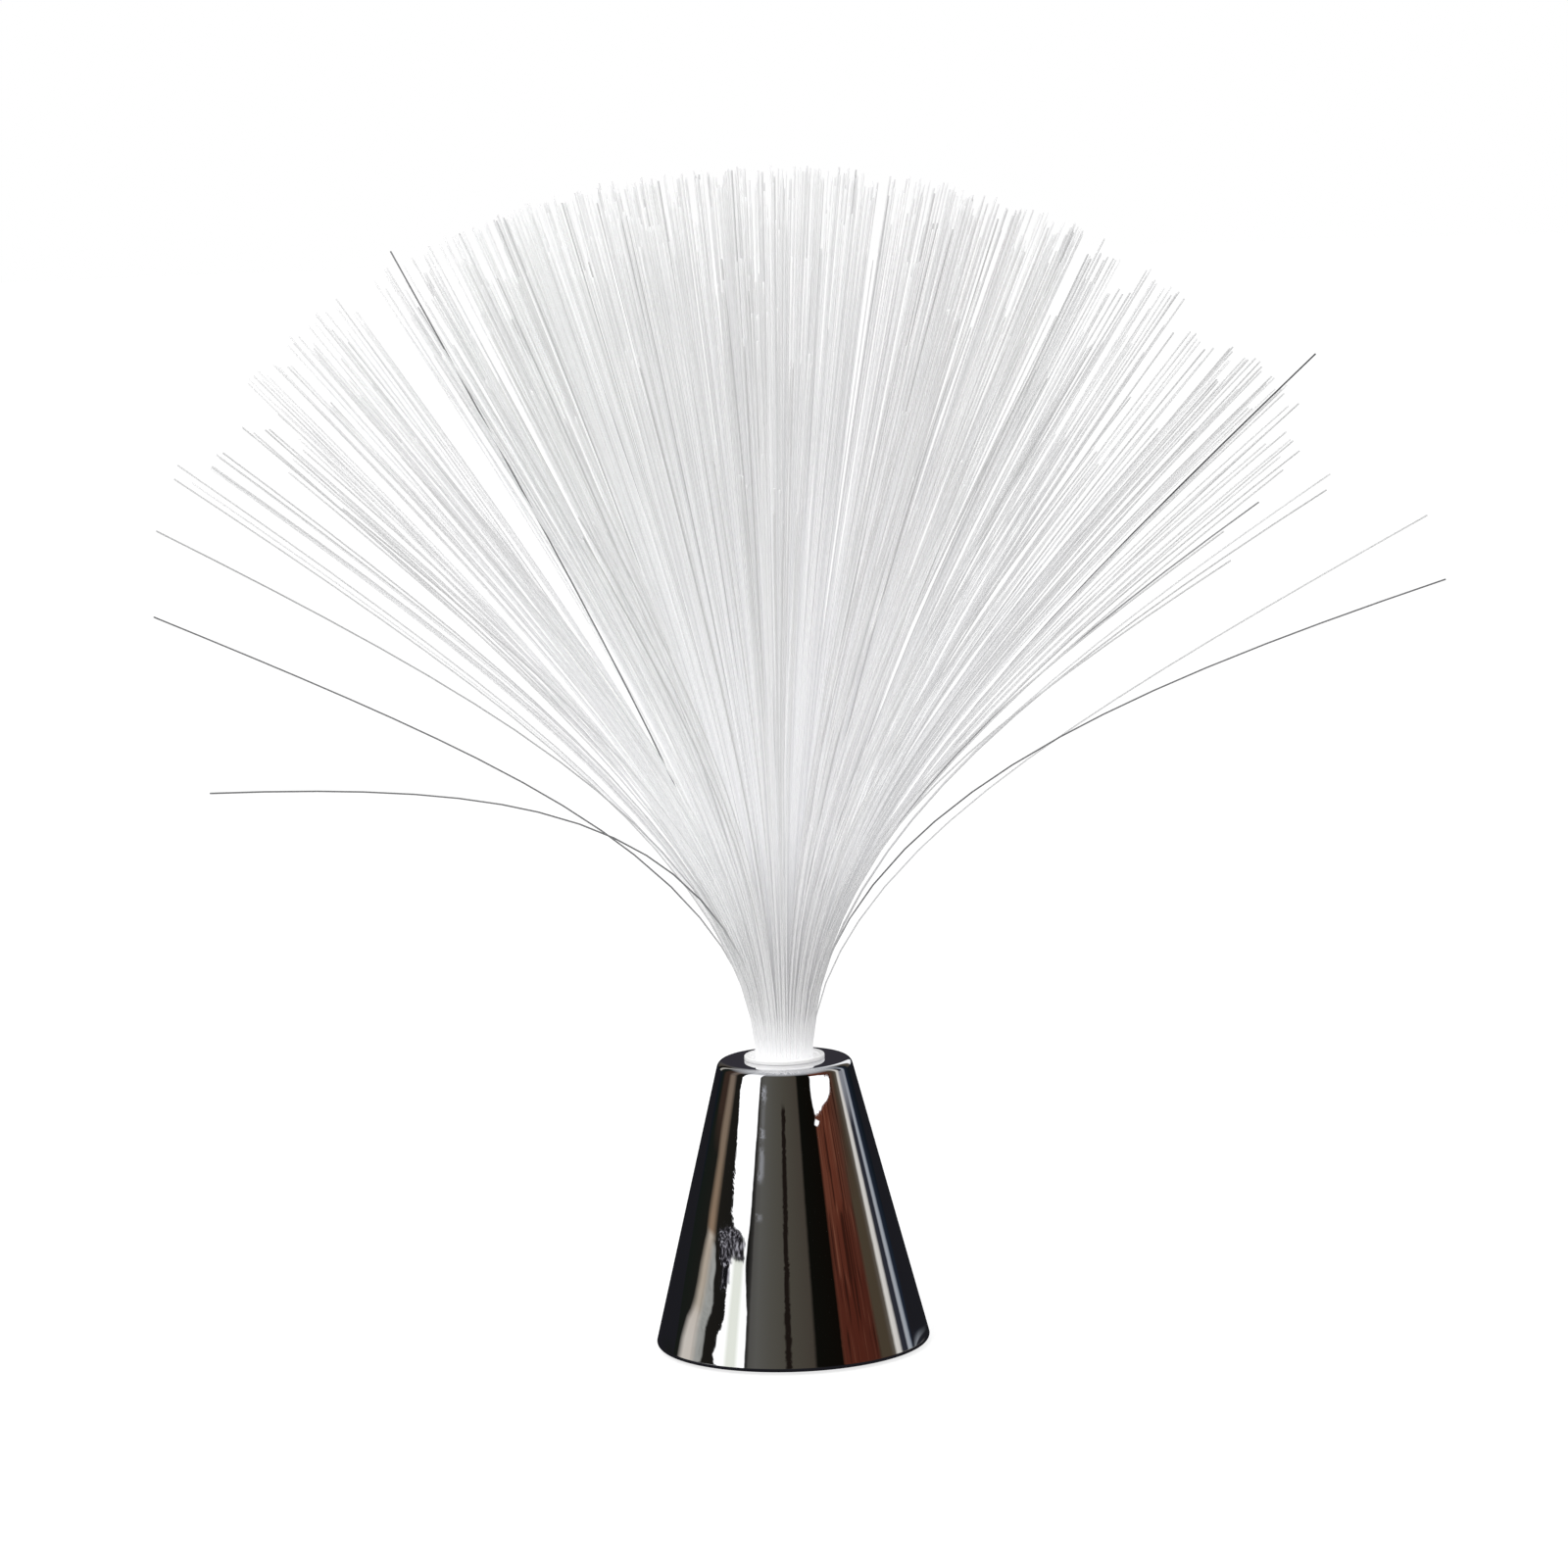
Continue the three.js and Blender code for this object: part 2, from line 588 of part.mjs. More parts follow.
function plateCuts() {
  const below = plateLift - overrun;
  const inner = trayRound - trayWall;
  const tabTop = cellHeight + contactHeight / 2;
  const slot = [tabTop - contactThickness - seatGap, tabTop + seatGap];
  const slots = [[1, cellRows[2]], [-1, cellRows[0]]].map(([side, row]) => {
    const wall = [trayInnerLength / 2 - overrun, trayLength / 2 + overrun];
    return block(side > 0 ? wall : [-wall[1], -wall[0]], centred(tabWidth + 2 * seatGap, row), slot);
  });
  const screws = plateScrewTurns.flatMap((turn) => {
    const place = around(plateScrewPlace, turn);
    return [cylinder(shankRadius + seatGap, below, plateTop + overrun, ...place),
      cylinder(plateHeadRadius + seatGap, below, plateLift + plateHeadHeight, ...place)];
  });
  const feet = footPlaces.map((place) =>
    cylinder(footRadius + seatGap, below, plateLift + footSink, ...place));
  const clipTop = pocketTop + clipHeight + 2 * seatGap;
  return [
    slab(trayInnerLength, trayInnerWidth, inner, below, trayInnerTop),
    slab(doorLength + 2 * seatGap, doorWidth + 2 * seatGap, inner + seatGap, below, pocketTop),
    block(centred(doorTabWidth + 2 * seatGap), [-doorTabEdge - seatGap, 0], [below, pocketTop]),
    cylinder(clipRadius + seatGap, below, clipTop, 0, -doorScrewPlace),
    cylinder(doorShankRadius + pilotGap, below, plateLift + doorScrewLength + seatGap, 0, -doorScrewPlace),
    block(centred(switchTravel + knobLength + 2 * seatGap), centred(knobWidth + 2 * seatGap, switchPlace),
      [below, plateTop + overrun]),
    ...slots, ...screws, ...feet,
  ];
}

function foot(x, y) {
  const top = plateLift + footSink - seatGap;
  const tread = [[footRadius - footRound, 0], [footRadius, footRound]];
  return turnedFull([[0, 0], ...tread, [footRadius, top], [0, top]]).translate([x, y, 0]);
}

// Battery door with a tab for its captive screw
function batteryDoor() {
  const cover = slab(doorLength, doorWidth, trayRound - trayWall, plateLift, doorTop);
  const tab = slab(doorTabWidth, 2 * (doorTabEdge - doorWidth / 2), trayRound / 2, plateLift, doorTop,
    0, -doorWidth / 2);
  const below = plateLift - overrun;
  const grips = [-1, 0, 1].map((row) => block(centred(doorTabWidth),
    centred(doorGroove, row * 2 * doorGroove + doorWidth / 4), [below, plateLift + doorThickness / 4]));
  const hole = cylinder(doorShankRadius + seatGap, below, doorTop + overrun, 0, -doorScrewPlace);
  return cut(join(cover, tab), hole, ...grips);
}

function doorScrew() {
  const seat = plateLift - seatGap;
  const end = plateLift + doorScrewLength;
  const low = seat - doorHeadHeight;
  const body = turnedFull([[0, low], [doorHeadRadius - doorHeadRound, low],
    [doorHeadRadius, low + doorHeadRound], [doorHeadRadius, seat], [doorShankRadius, seat],
    [doorShankRadius, end - doorShankRadius / 2], [doorShankRadius / 2, end], [0, end]]);
  const slot = block(centred(2 * doorHeadRadius + overrun), centred(coinSlotWidth),
    [low - overrun, low + coinSlotDepth]);
  return cut(body, slot).translate([0, -doorScrewPlace, 0]);
}

function doorScrewClip() {
  const low = doorTop + seatGap;
  const high = low + clipHeight;
  const inner = doorShankRadius + runGap;
  const ring = turned([[inner, low], [clipRadius, low], [clipRadius, high], [inner, high]], bossSides);
  const mouth = block([0, clipRadius + overrun], centred(clipMouth), [low - overrun, high + overrun]);
  return cut(ring, mouth).translate([0, -doorScrewPlace, 0]);
}

// A cell lying along X: its nub end points to +X when side is 1
function cell(row, side) {
  const nubEnd = contactFace - seatGap;
  const far = nubEnd - cellLength;
  const shoulder = nubEnd - nubLength;
  const body = turnedFull([[0, far], [cellRadius - cellChamfer, far], [cellRadius, far + cellChamfer],
    [cellRadius, shoulder - cellChamfer], [cellRadius - cellChamfer, shoulder], [nubRadius, shoulder],
    [nubRadius, nubEnd], [0, nubEnd]], cellFacets);
  return body.rotate([0, 90, 0]).scale([side, 1, 1]).translate([0, row, cellHeight]);
}

// Contact plate at one end of the tray; a tab through the wall takes a wire
function contact(side, rows, hasTab) {
  const face = [contactFace, contactFace + contactThickness];
  const half = cellRadius - contactInset;
  const y = [Math.min(...rows) - half, Math.max(...rows) + half];
  const z = centred(contactHeight, cellHeight);
  const tab = block([contactFace, tabEnd], centred(tabWidth, rows[0]),
    [z[1] - contactThickness, z[1]]);
  const plate = block(face, y, z);
  return (hasTab ? join(plate, tab) : plate).scale([side, 1, 1]);
}

// The rings of a round wire swept along a list of points, each square to it
function sweptRings(points, radius, sides) {
  const alongs = points.map((_, i) =>
    points[Math.min(i + 1, points.length - 1)].clone().sub(points[Math.max(i - 1, 0)]).normalize());
  const side = new THREE.Vector3(0, 0, 1).cross(alongs[0]);
  if (side.lengthSq() < tiny) side.set(1, 0, 0).cross(alongs[0]);
  return points.map((point, i) => {
    side.addScaledVector(alongs[i], -side.dot(alongs[i])).normalize();
    const up = alongs[i].clone().cross(side);
    return Array.from({ length: sides }, (_, k) => {
      const turn = (2 * Math.PI * k) / sides;
      const spot = point.clone().addScaledVector(side, radius * Math.cos(turn));
      return spot.addScaledVector(up, radius * Math.sin(turn));
    });
  });
}

// Faces that join a ring of places to the next, and that close the last one
function tubeFaces(ring, next) {
  return ring.flatMap((a, k) => {
    const other = (k + 1) % ring.length;
    return [a, ring[other], next[other], a, next[other], next[k]];
  });
}

const capFaces = (ring) => ring.slice(2).flatMap((_, k) => [ring[0], ring[k + 1], ring[k + 2]]);

function meshOf(places, faces) {
  const geometry = new THREE.BufferGeometry();
  const numbers = places.flatMap((place) => place.toArray());
  geometry.setAttribute("position", new THREE.Float32BufferAttribute(numbers, 3));
  geometry.setIndex(faces);
  geometry.computeVertexNormals();
  return geometry;
}

function swept(points, radius, sides) {
  const rings = sweptRings(points, radius, sides);
  const numbers = rings.map((ring, i) => ring.map((_, k) => i * sides + k));
  const faces = numbers.slice(1).flatMap((ring, i) => tubeFaces(numbers[i], ring));
  const caps = [...capFaces([...numbers[0]].reverse()), ...capFaces(numbers.at(-1))];
  return meshOf(rings.flat(), [...faces, ...caps]);
}

// Conical battery spring between a contact and the flat end of a cell
function springPoints() {
  const steps = springTurns * springSteps;
  const from = contactFace - seatGap;
  const run = springLength - 2 * springWire;
  const curl = Array.from({ length: steps + 1 }, (_, i) => {
    const turn = (2 * Math.PI * i) / springSteps;
    const radius = springRadius + ((springTip - springRadius) * i) / steps;
    const x = from - springWire - (run * i) / steps;
    return new THREE.Vector3(x, radius * Math.cos(turn), radius * Math.sin(turn));
  });
  return [curl[0].clone().setX(from), ...curl, curl[steps].clone().setX(from - springLength)];
}

// Least gap between two turns of a wire of this diameter, on points more than half a turn apart
function leastCoilGap(points, diameter) {
  const gaps = points.flatMap((a, i) =>
    points.slice(i + 1 + springSteps / 2).map((b) => a.distanceTo(b) - diameter));
  return Math.min(...gaps);
}

function cellSpring(row, side) {
  const tube = solid(swept(springPoints(), springWire / 2, springSides));
  return tube.scale([side, 1, 1]).translate([0, row, cellHeight]);
}

// Slide switch: a body with three pins, and a knob that hangs through the plate
function switchBody() {
  const low = plateTop + seatGap;
  const high = low + switchHeight;
  const body = block(centred(switchLength), centred(switchWidth, switchPlace), [low, high]);
  const pocket = block(centred(switchTravel + knobLength + 2 * seatGap),
    centred(knobWidth + 2 * seatGap, switchPlace), [low - overrun, low + knobRise + seatGap]);
  const pins = [-1, 0, 1].map((step) => block(centred(pinThickness, step * pinPitch),
    centred(pinWidth, switchPlace), [high - pinThickness, high + pinHeight]));
  return join(cut(body, pocket), ...pins).intersect(insideSpace());
}

function switchKnob() {
  const low = plateLift - knobDip;
  const x = -switchTravel / 2;
  const high = plateTop + seatGap + knobRise;
  const stem = block(centred(knobLength, x), centred(knobWidth, switchPlace), [low, high]);
  const grooves = [-1, 0, 1].map((step) => block(centred(knobGroove, x + step * 2 * knobGroove),
    centred(knobWidth + overrun, switchPlace), [low - overrun, low + knobGroove]));
  return cut(stem, ...grooves);
}

// Insulated wires: each route is worked out from what it joins
function wire(...stops) {
  const curve = new THREE.CatmullRomCurve3(stops.map((stop) => new THREE.Vector3(...stop)));
  return swept(curve.getSpacedPoints(wireSteps), wireRadius, wireSides);
}

const tabHeight = cellHeight + contactHeight / 2;
const wireRise = wireRadius + seatGap;
const pinTop = plateTop + seatGap + switchHeight + pinHeight;
const boardUnder = boardBottom - seatGap;
const midHeight = (trayTop + boardUnder) / 2;
const wireInset = 2 * wireRadius;
const wirePlace = trayLength / 2 + wireRise; // on the tabs, just clear of the tray's ends
const padTurn = 60; // degrees, of the wires' pads on the board
const switchPad = around(boardRadius - 2 * wireInset, padTurn);
const cellPad = around(boardRadius - 2 * wireInset, padTurn + 180);

const cellToSwitch = [
  [wirePlace, cellRows[2], tabHeight + wireRise],
  [wirePlace, cellRows[2], trayTop + wireRise * 2],
  [trayLength / 3, trayWidth / 2, trayTop + wireRise * 4],
  [pinPitch * wireKneeShare, switchPlace - wireInset, trayTop + wireRise * 4],
  [pinPitch, switchPlace, pinTop + seatGap],
];
const switchToBoard = [
  [0, switchPlace, pinTop + seatGap],
  [0, switchPlace - wireInset, trayTop + wireRise * 4],
  [0, switchPlace - wireInset * 4, midHeight],
  [...switchPad, boardUnder - wireRise * 3],
  [...switchPad, boardUnder],
];
const cellToBoard = [
  [-wirePlace, cellRows[0], tabHeight + wireRise],
  [-wirePlace, cellRows[0], trayTop + wireRise * 2],
  [-trayLength / 3, cellRows[0], midHeight],
  [...cellPad, boardUnder - wireRise * 4],
  [...cellPad, boardUnder],
];

// Sleeve of the spray, with a groove for the grip ring
const ringTop = sleeveTop - ringDrop;
const ringBottom = ringTop - ringHeight;

function sprayGripRing() {
  const inner = grooveRadius + runGap;
  const bevel = (ringOuter - inner) / 4;
  return turned([[inner, ringBottom], [ringOuter - bevel, ringBottom], [ringOuter, ringBottom + bevel],
    [ringOuter, ringTop - bevel], [ringOuter - bevel, ringTop], [inner, ringTop]]);
}

function spraySleeve() {
  return turned([[sleeveInner, sleeveBottom], [sleeveOuter, sleeveBottom], [sleeveOuter, ringBottom - runGap],
    [grooveRadius, ringBottom - runGap], [grooveRadius, ringTop + runGap], [sleeveOuter, ringTop + runGap],
    [sleeveOuter, sleeveTop], [sleeveInner, sleeveTop]]);
}

// Fibres: each leans out of the bundle in its own upright plane, fast at first and then hardly at all
function fibrePoint({ x, y, azimuth, lean, bend }, run) {
  const step = run / bendSteps;
  let [out, up] = [0, sleeveTop];
  for (let i = 0; i < bendSteps; i++) {
    const tilt = lean * degrees * (1 - Math.exp((-step * (i + 0.5)) / bend));
    out += step * Math.sin(tilt);
    up += step * Math.cos(tilt);
  }
  return new THREE.Vector3(x + out * Math.cos(azimuth), y + out * Math.sin(azimuth), up);
}

// A repeatable number from 0 to 1 for each fibre
function scatter(i) {
  const raw = Math.sin(i * 12.9898 + 4.1414) * 43758.5453;
  return raw - Math.floor(raw);
}

// The lean of a fibre by its share of the bundle's radius: most stand close to upright
function leanAt(share) {
  const widest = 1 - Math.exp(-((fibreLean / fibreSpread) ** 2) / 2);
  return fibreSpread * Math.sqrt(-2 * Math.log(1 - widest * share * share));
}

// Roots lie on a sunflower pattern, drawn a little away from the planes between the quarters
function spreadFibres() {
  const golden = Math.PI * (3 - Math.sqrt(5));
  const edge = bundleRadius - fibreRadius - seatGap;
  const split = quarterGap / 2 + fibreRadius + splitMargin;
  const squeeze = 1 - (split * Math.SQRT2) / edge;
  const fibreCount = Math.round((edge / rootSpacing) ** 2);
  const all = Array.from({ length: fibreCount - strayShares.length }, (_, i) => {
    const share = Math.sqrt((i + 0.5) / fibreCount);
    const azimuth = i * golden;
    const [x, y] = [Math.cos(azimuth), Math.sin(azimuth)].map((toward) =>
      Math.sign(toward) * (split + squeeze * edge * share * Math.abs(toward)));
    const rightness = (1 + Math.cos(azimuth)) / 2;
    const lean = leanAt(share) * (1 + wideningShare * rightness);
    const outermost = leftShortfall + (rightShortfall - leftShortfall) * rightness;
    const shortfall = outermost * (lean / fibreLean) ** outerPower;
    const length = fibreReach - fibreJag * (scatter(i) - 0.5) - shortfall;
    const bend = fibreBend * (1 + lateBendShare * Math.cos(azimuth));
    return { x, y, azimuth, lean, bend, length, shares: bendShares };
  });
  const taken = strayFibres();
  return all.filter(({ x, y }) => taken.every((stray) => Math.hypot(stray.x - x, stray.y - y) > strayRoom));
}

function strayFibres() {
  return strayShares.map(({ azimuth, lean, bend, length }) => {
    const [x, y] = around(bundleRadius - 2 * fibreRadius, azimuth);
    const sizes = { bend: bend * fibreBend, length: length * fibreReach };
    return { x, y, azimuth: azimuth * degrees, lean, ...sizes, shares: strayBendShares };
  });
}

const rootTop = sleeveTop - seatGap;

function fibreRings(fibre) {
  const bends = [...fibre.shares, 1].map((share) => fibrePoint(fibre, share * fibre.length));
  const rings = sweptRings([fibrePoint(fibre, 0).setZ(rootTop), ...bends], fibreRadius, fibreSides);
  rings[0].forEach((spot) => spot.setZ(rootTop));
  return rings;
}

// Outline of a quarter of the potted root, anticlockwise from above
function quarterOutline(quarter) {
  const half = quarterGap / 2;
  const edge = Math.asin(half / bundleRadius);
  const round = arc(0, 0, bundleRadius, edge, Math.PI / 2 - edge, quarterSteps);
  const turn = (quarter * Math.PI) / 2;
  const axis = new THREE.Vector3(0, 0, 1);
  return [[half, half], ...round].map(([x, y]) => new THREE.Vector3(x, y, 0).applyAxisAngle(axis, turn));
}

// A quarter of the potted root, with its fibres rising out of its top, as one closed surface
function fibreQuarter(fibres, quarter) {
  const outline = quarterOutline(quarter);
  const [towardX, towardY] = [[1, 1], [-1, 1], [-1, -1], [1, -1]][quarter];
  const own = fibres.filter(({ x, y }) => x * towardX > 0 && y * towardY > 0);
  const tubes = own.map(fibreRings);
  const holes = tubes.map(([foot]) => [...foot].reverse());
  const places = [...outline.map((spot) => spot.clone().setZ(rootTop)), ...holes.flat()];
  const faces = THREE.ShapeUtils.triangulateShape(outline, holes).flat();
  const upper = outline.map((_, i) => i);
  const lower = outline.map((_, i) => places.length + i);
  places.push(...outline.map((spot) => spot.clone().setZ(sleeveBottom)));
  const floor = THREE.ShapeUtils.triangulateShape(outline, []);
  faces.push(...tubeFaces(lower, upper), ...floor.flatMap(([a, b, c]) => [lower[a], lower[c], lower[b]]));
  tubes.forEach(([foot, ...rings], fibre) => {
    const last = outline.length + (fibre + 1) * fibreSides - 1;
    let ring = foot.map((_, k) => last - k);
    for (const spots of rings) {
      const next = spots.map((_, k) => places.length + k);
      places.push(...spots);
      faces.push(...tubeFaces(ring, next));
      ring = next;
    }
    faces.push(...capFaces(ring));
  });
  return meshOf(places, faces);
}

// Assembly
add("base_shell", baseShell(), chrome);
add("socket", socket(), opal);
add("socket_nut", socketNut(), blackPlastic);
add("light_tunnel", lightTunnel(), opal);
addEach("tunnel_screw", hangerTurns.map((turn) => around(hangerPlace, turn)),
  (x, y) => screw(x, y, tunnelTop - earHeight - seatGap, tunnelScrewLength, headRadius, headHeight), steel);
add("circuit_board", circuitBoard(), boardGreen);
addEach("board_screw", postTurns.map((turn) => around(postPlace, turn)),
  (x, y) => screw(x, y, boardBottom - seatGap, boardScrewLength, headRadius, headHeight), steel);
Object.entries(lenses).forEach(([name, color], i) => add(name, diode(ledTurns[i]), finish(color, 0.15, 0)));
add("controller_chip", controller(), blackPlastic);
resistorPlaces.forEach((place, i) => add(`resistor_${i + 1}`, resistor(place), resistorTan));

add("bottom_plate", bottomPlate(), blackPlastic);
const plateScrewSeat = plateLift + plateHeadHeight - seatGap;
addEach("plate_screw", plateScrewTurns.map((turn) => around(plateScrewPlace, turn)),
  (x, y) => screw(x, y, plateScrewSeat, plateScrewLength, plateHeadRadius, plateHeadHeight), steel);
addEach("foot", footPlaces, foot, rubber);
add("switch_body", switchBody(), greyPlastic);
add("switch_knob", switchKnob(), opal);
add("battery_door", batteryDoor(), blackPlastic);
add("door_screw", doorScrew(), steel);
add("door_screw_clip", doorScrewClip(), steel);

const nubSides = [1, -1, 1]; // the end of the tray, +X or -X, that each cell's nub points to
cellRows.forEach((row, i) => {
  add(`cell_${i + 1}`, cell(row, nubSides[i]), wrapper);
  add(`cell_spring_${i + 1}`, cellSpring(row, -nubSides[i]), nickel);
});
add("contact_negative", contact(-1, [cellRows[0]], true), nickel);
add("contact_bridge_1", contact(1, [cellRows[0], cellRows[1]], false), nickel);
add("contact_bridge_2", contact(-1, [cellRows[1], cellRows[2]], false), nickel);
add("contact_positive", contact(1, [cellRows[2]], true), nickel);
add("wire_cell_to_switch", wire(...cellToSwitch), redVinyl);
add("wire_switch_to_board", wire(...switchToBoard), redVinyl);
add("wire_cell_to_board", wire(...cellToBoard), blackVinyl);

add("grip_ring", sprayGripRing(), rubber);
add("spray_sleeve", spraySleeve(), opal);
const fibres = [...spreadFibres(), ...strayFibres()];
[0, 1, 2, 3].forEach((quarter) => add(`fibres_${quarter + 1}`, fibreQuarter(fibres, quarter), fibreClear));

console.log(`least gap in a cell spring ${leastCoilGap(springPoints(), springWire).toFixed(2)} mm`);

export default root;
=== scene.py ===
import math

import bpy
import numpy as np
from bpy.props import FloatProperty, FloatVectorProperty, IntProperty, PointerProperty
from mathutils import Matrix, Vector


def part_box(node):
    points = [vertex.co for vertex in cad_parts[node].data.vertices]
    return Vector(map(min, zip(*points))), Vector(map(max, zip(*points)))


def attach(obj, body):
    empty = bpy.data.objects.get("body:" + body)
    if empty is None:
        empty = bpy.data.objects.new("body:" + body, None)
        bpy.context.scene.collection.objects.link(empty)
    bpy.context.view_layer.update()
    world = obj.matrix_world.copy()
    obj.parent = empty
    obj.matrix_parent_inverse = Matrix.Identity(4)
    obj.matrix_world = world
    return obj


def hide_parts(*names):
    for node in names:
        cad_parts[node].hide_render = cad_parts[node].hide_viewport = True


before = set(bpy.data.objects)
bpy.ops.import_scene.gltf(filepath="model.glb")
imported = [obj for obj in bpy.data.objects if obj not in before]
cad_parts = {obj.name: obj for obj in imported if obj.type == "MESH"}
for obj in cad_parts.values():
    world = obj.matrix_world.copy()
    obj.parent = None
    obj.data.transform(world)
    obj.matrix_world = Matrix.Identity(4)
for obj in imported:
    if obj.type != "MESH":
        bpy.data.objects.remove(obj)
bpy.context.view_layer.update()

bl_info = {
    "name": "Fibre Lamp",
    "version": (1, 0, 0),
    "blender": (4, 5, 0),
    "location": "View3D > Sidebar > Lamp",
    "description": "Dresses the model of a battery lamp with a chromed cone and a fan of clear fibres",
    "category": "Add Mesh",
}

MM = 0.001
DEGREE = math.pi / 180
SENSOR = 36.0  # millimetres across the camera's film

# Rounds and walls that the node boxes don't tell, as in the model
CONE_WALL = 2 * MM
RIM_ROUND = 1 * MM
TOP_ROUND = 2.5 * MM
TOP_RADIUS = 18.1 * MM  # where the sloping side would meet the top plane
SEAT_GAP = 0.3 * MM
FLANGE_ROUND = 0.3 * MM
FLANGE_GAP = 0.1 * MM  # between the flange and the cone's top
RUN_GAP = 0.08 * MM  # between the grip ring and its groove
SOCKET_BORE = 9.33 * MM
SOCKET_TUBE = 10.03 * MM
SLEEVE_BORE = 8.35 * MM
SHOULDER_TOP = 61.0 * MM
RING_GROOVE = 0.25 * MM
BUNDLE_RADIUS = 8.05 * MM
QUARTER_GAP = 0.3 * MM
BOSS_RADIUS = 3 * MM
BOSS_SPAN = (5.7 * MM, 22 * MM)
HANGER_RADIUS = 2.6 * MM
HANGER_FOOT = 63.3 * MM
PILOT_RADIUS = 1.05 * MM  # holes for the small screws

# Faces round the turned mouldings and round the bosses, and levels of a boss
MOULDING_SIDES = 128
BOSS_SIDES, BOSS_LEVELS = 32, 12

# How strongly a fibre glows by the share of its length from the sleeve's mouth
FIBRE_LIGHT = [(0.0, 0.31), (0.015, 0.31), (0.03, 0.22), (0.06, 0.11), (0.1, 0.115), (0.15, 0.15),
               (0.28, 0.235), (0.45, 0.215), (0.7, 0.15), (0.992, 0.10), (1.0, 0.2)]
BLUISH = 1.03  # how much stronger the light's blue is

BLACK = (0.0, 0.0, 0.0)
WHITE = (1.0, 1.0, 1.0)


class Value:
    """A socket of a node tree. Sums and products of values add Math nodes."""

    def __init__(self, graph, socket):
        self.graph = graph
        self.socket = socket

    def maths(self, operation, *numbers):
        inputs = dict(enumerate(numbers))
        return self.graph.node("ShaderNodeMath", {"operation": operation}, inputs)

    def apply(self, operation, *others):
        """A Math node's operation with this value first."""
        return self.maths(operation, self, *others)

    def __add__(self, other):
        return self.maths("ADD", self, other)

    def __radd__(self, other):
        return self.maths("ADD", other, self)

    def __sub__(self, other):
        return self.maths("SUBTRACT", self, other)

    def __rsub__(self, other):
        return self.maths("SUBTRACT", other, self)

    def __mul__(self, other):
        return self.maths("MULTIPLY", self, other)

    def __rmul__(self, other):
        return self.maths("MULTIPLY", other, self)

    def __truediv__(self, other):
        return self.maths("DIVIDE", self, other)

    def __pow__(self, other):
        return self.maths("POWER", self, other)

    def clamp(self):
        return self.graph.node("ShaderNodeClamp", {}, {"Value": self})


class Graph:
    """The nodes of a material or of the world."""

    def __init__(self, owner):
        owner.use_nodes = True
        self.tree = owner.node_tree
        self.tree.nodes.clear()

    def node(self, kind, settings, inputs, output=0):
        """Adds a node with its settings, then the values or links of its sockets."""
        made = self.tree.nodes.new(kind)
        for name, setting in settings.items():
            if name == "stops":
                self.set_stops(made.color_ramp, *setting)
            else:
                setattr(made, name, setting)
        for name, value in inputs.items():
            if isinstance(value, Value):
                self.tree.links.new(value.socket, made.inputs[name])
            else:
                made.inputs[name].default_value = value
        return Value(self, made.outputs[output]) if made.outputs else None

    @staticmethod
    def set_stops(ramp, interpolation, stops):
        ramp.interpolation = interpolation
        while len(ramp.elements) < len(stops):
            ramp.elements.new(1.0)
        for element, (place, color) in zip(ramp.elements, stops):
            element.position = place
            element.color = (*color, 1.0)

    def ramp(self, factor, stops, interpolation="LINEAR"):
        return self.node("ShaderNodeValToRGB", {"stops": (interpolation, stops)}, {"Fac": factor}, "Color")

    def ray(self, kind):
        """1 for the rays of a kind, such as Is Camera Ray."""
        return self.node("ShaderNodeLightPath", {}, {}, kind)

    def ramp_along(self, value, points):
        """Colours at numbers that a value runs through, as pairs in order."""
        low, high = points[0][0], points[-1][0]
        stops = [((at - low) / (high - low), color) for at, color in points]
        return self.ramp((value - low) / (high - low), stops)

    def places(self):
        """Where the surface lies, in millimetres of the model's frame."""
        where = self.node("ShaderNodeTexCoord", {}, {}, "Object")
        return self.node("ShaderNodeVectorMath", {"operation": "SCALE"}, {0: where, "Scale": 1 / MM})

    def noise(self, where, scale, detail=2.0, roughness=0.5):
        inputs = {"Vector": where, "Scale": scale, "Detail": detail, "Roughness": roughness}
        return self.node("ShaderNodeTexNoise", {}, inputs, "Fac")

    def stretched(self, where, stretch):
        return self.node("ShaderNodeVectorMath", {"operation": "MULTIPLY"}, {0: where, 1: stretch})

    def axis(self, vector, name):
        return self.node("ShaderNodeSeparateXYZ", {}, {"Vector": vector}, name)

    def azimuth_of(self, x, y):
        """Direction on the table in degrees: 0 towards the camera, positive to its right."""
        return x.apply("ARCTAN2", 0 - y) / DEGREE

    def mix(self, factor, first, second):
        """A colour between two."""
        inputs = {0: factor, 6: first, 7: second}
        return self.node("ShaderNodeMix", {"data_type": "RGBA"}, inputs, 2)

    def mix_shaders(self, factor, first, second):
        return self.node("ShaderNodeMixShader", {}, {0: factor, 1: first, 2: second})

    def bump(self, height, strength, distance):
        inputs = {"Height": height, "Strength": strength, "Distance": distance}
        return self.node("ShaderNodeBump", {}, inputs)

    def above(self, value, limit, soft):
        """1 where the value lies above a limit, with a soft edge."""
        return ((value - limit) / (2 * soft) + 0.5).clamp()

    def band(self, value, low, high, soft):
        """1 where the value lies from low to high, with soft edges."""
        return self.above(value, low, soft) - self.above(value, high, soft)

    def course(self, value, points):
        """A number that follows another along straight stretches between pairs of the two."""
        least, most = (limit(number for at, number in points) for limit in (min, max))
        greys = [(at, ((number - least) / (most - least),) * 3) for at, number in points]
        return self.ramp_along(value, greys) * (most - least) + least

    def finish(self, inputs):
        surface = self.node("ShaderNodeBsdfPrincipled", {}, inputs)
        self.node("ShaderNodeOutputMaterial", {}, {"Surface": surface})


def rgba(color):
    return (*color, 1.0)


def material(name):
    made = bpy.data.materials.new(name)
    return made, Graph(made)


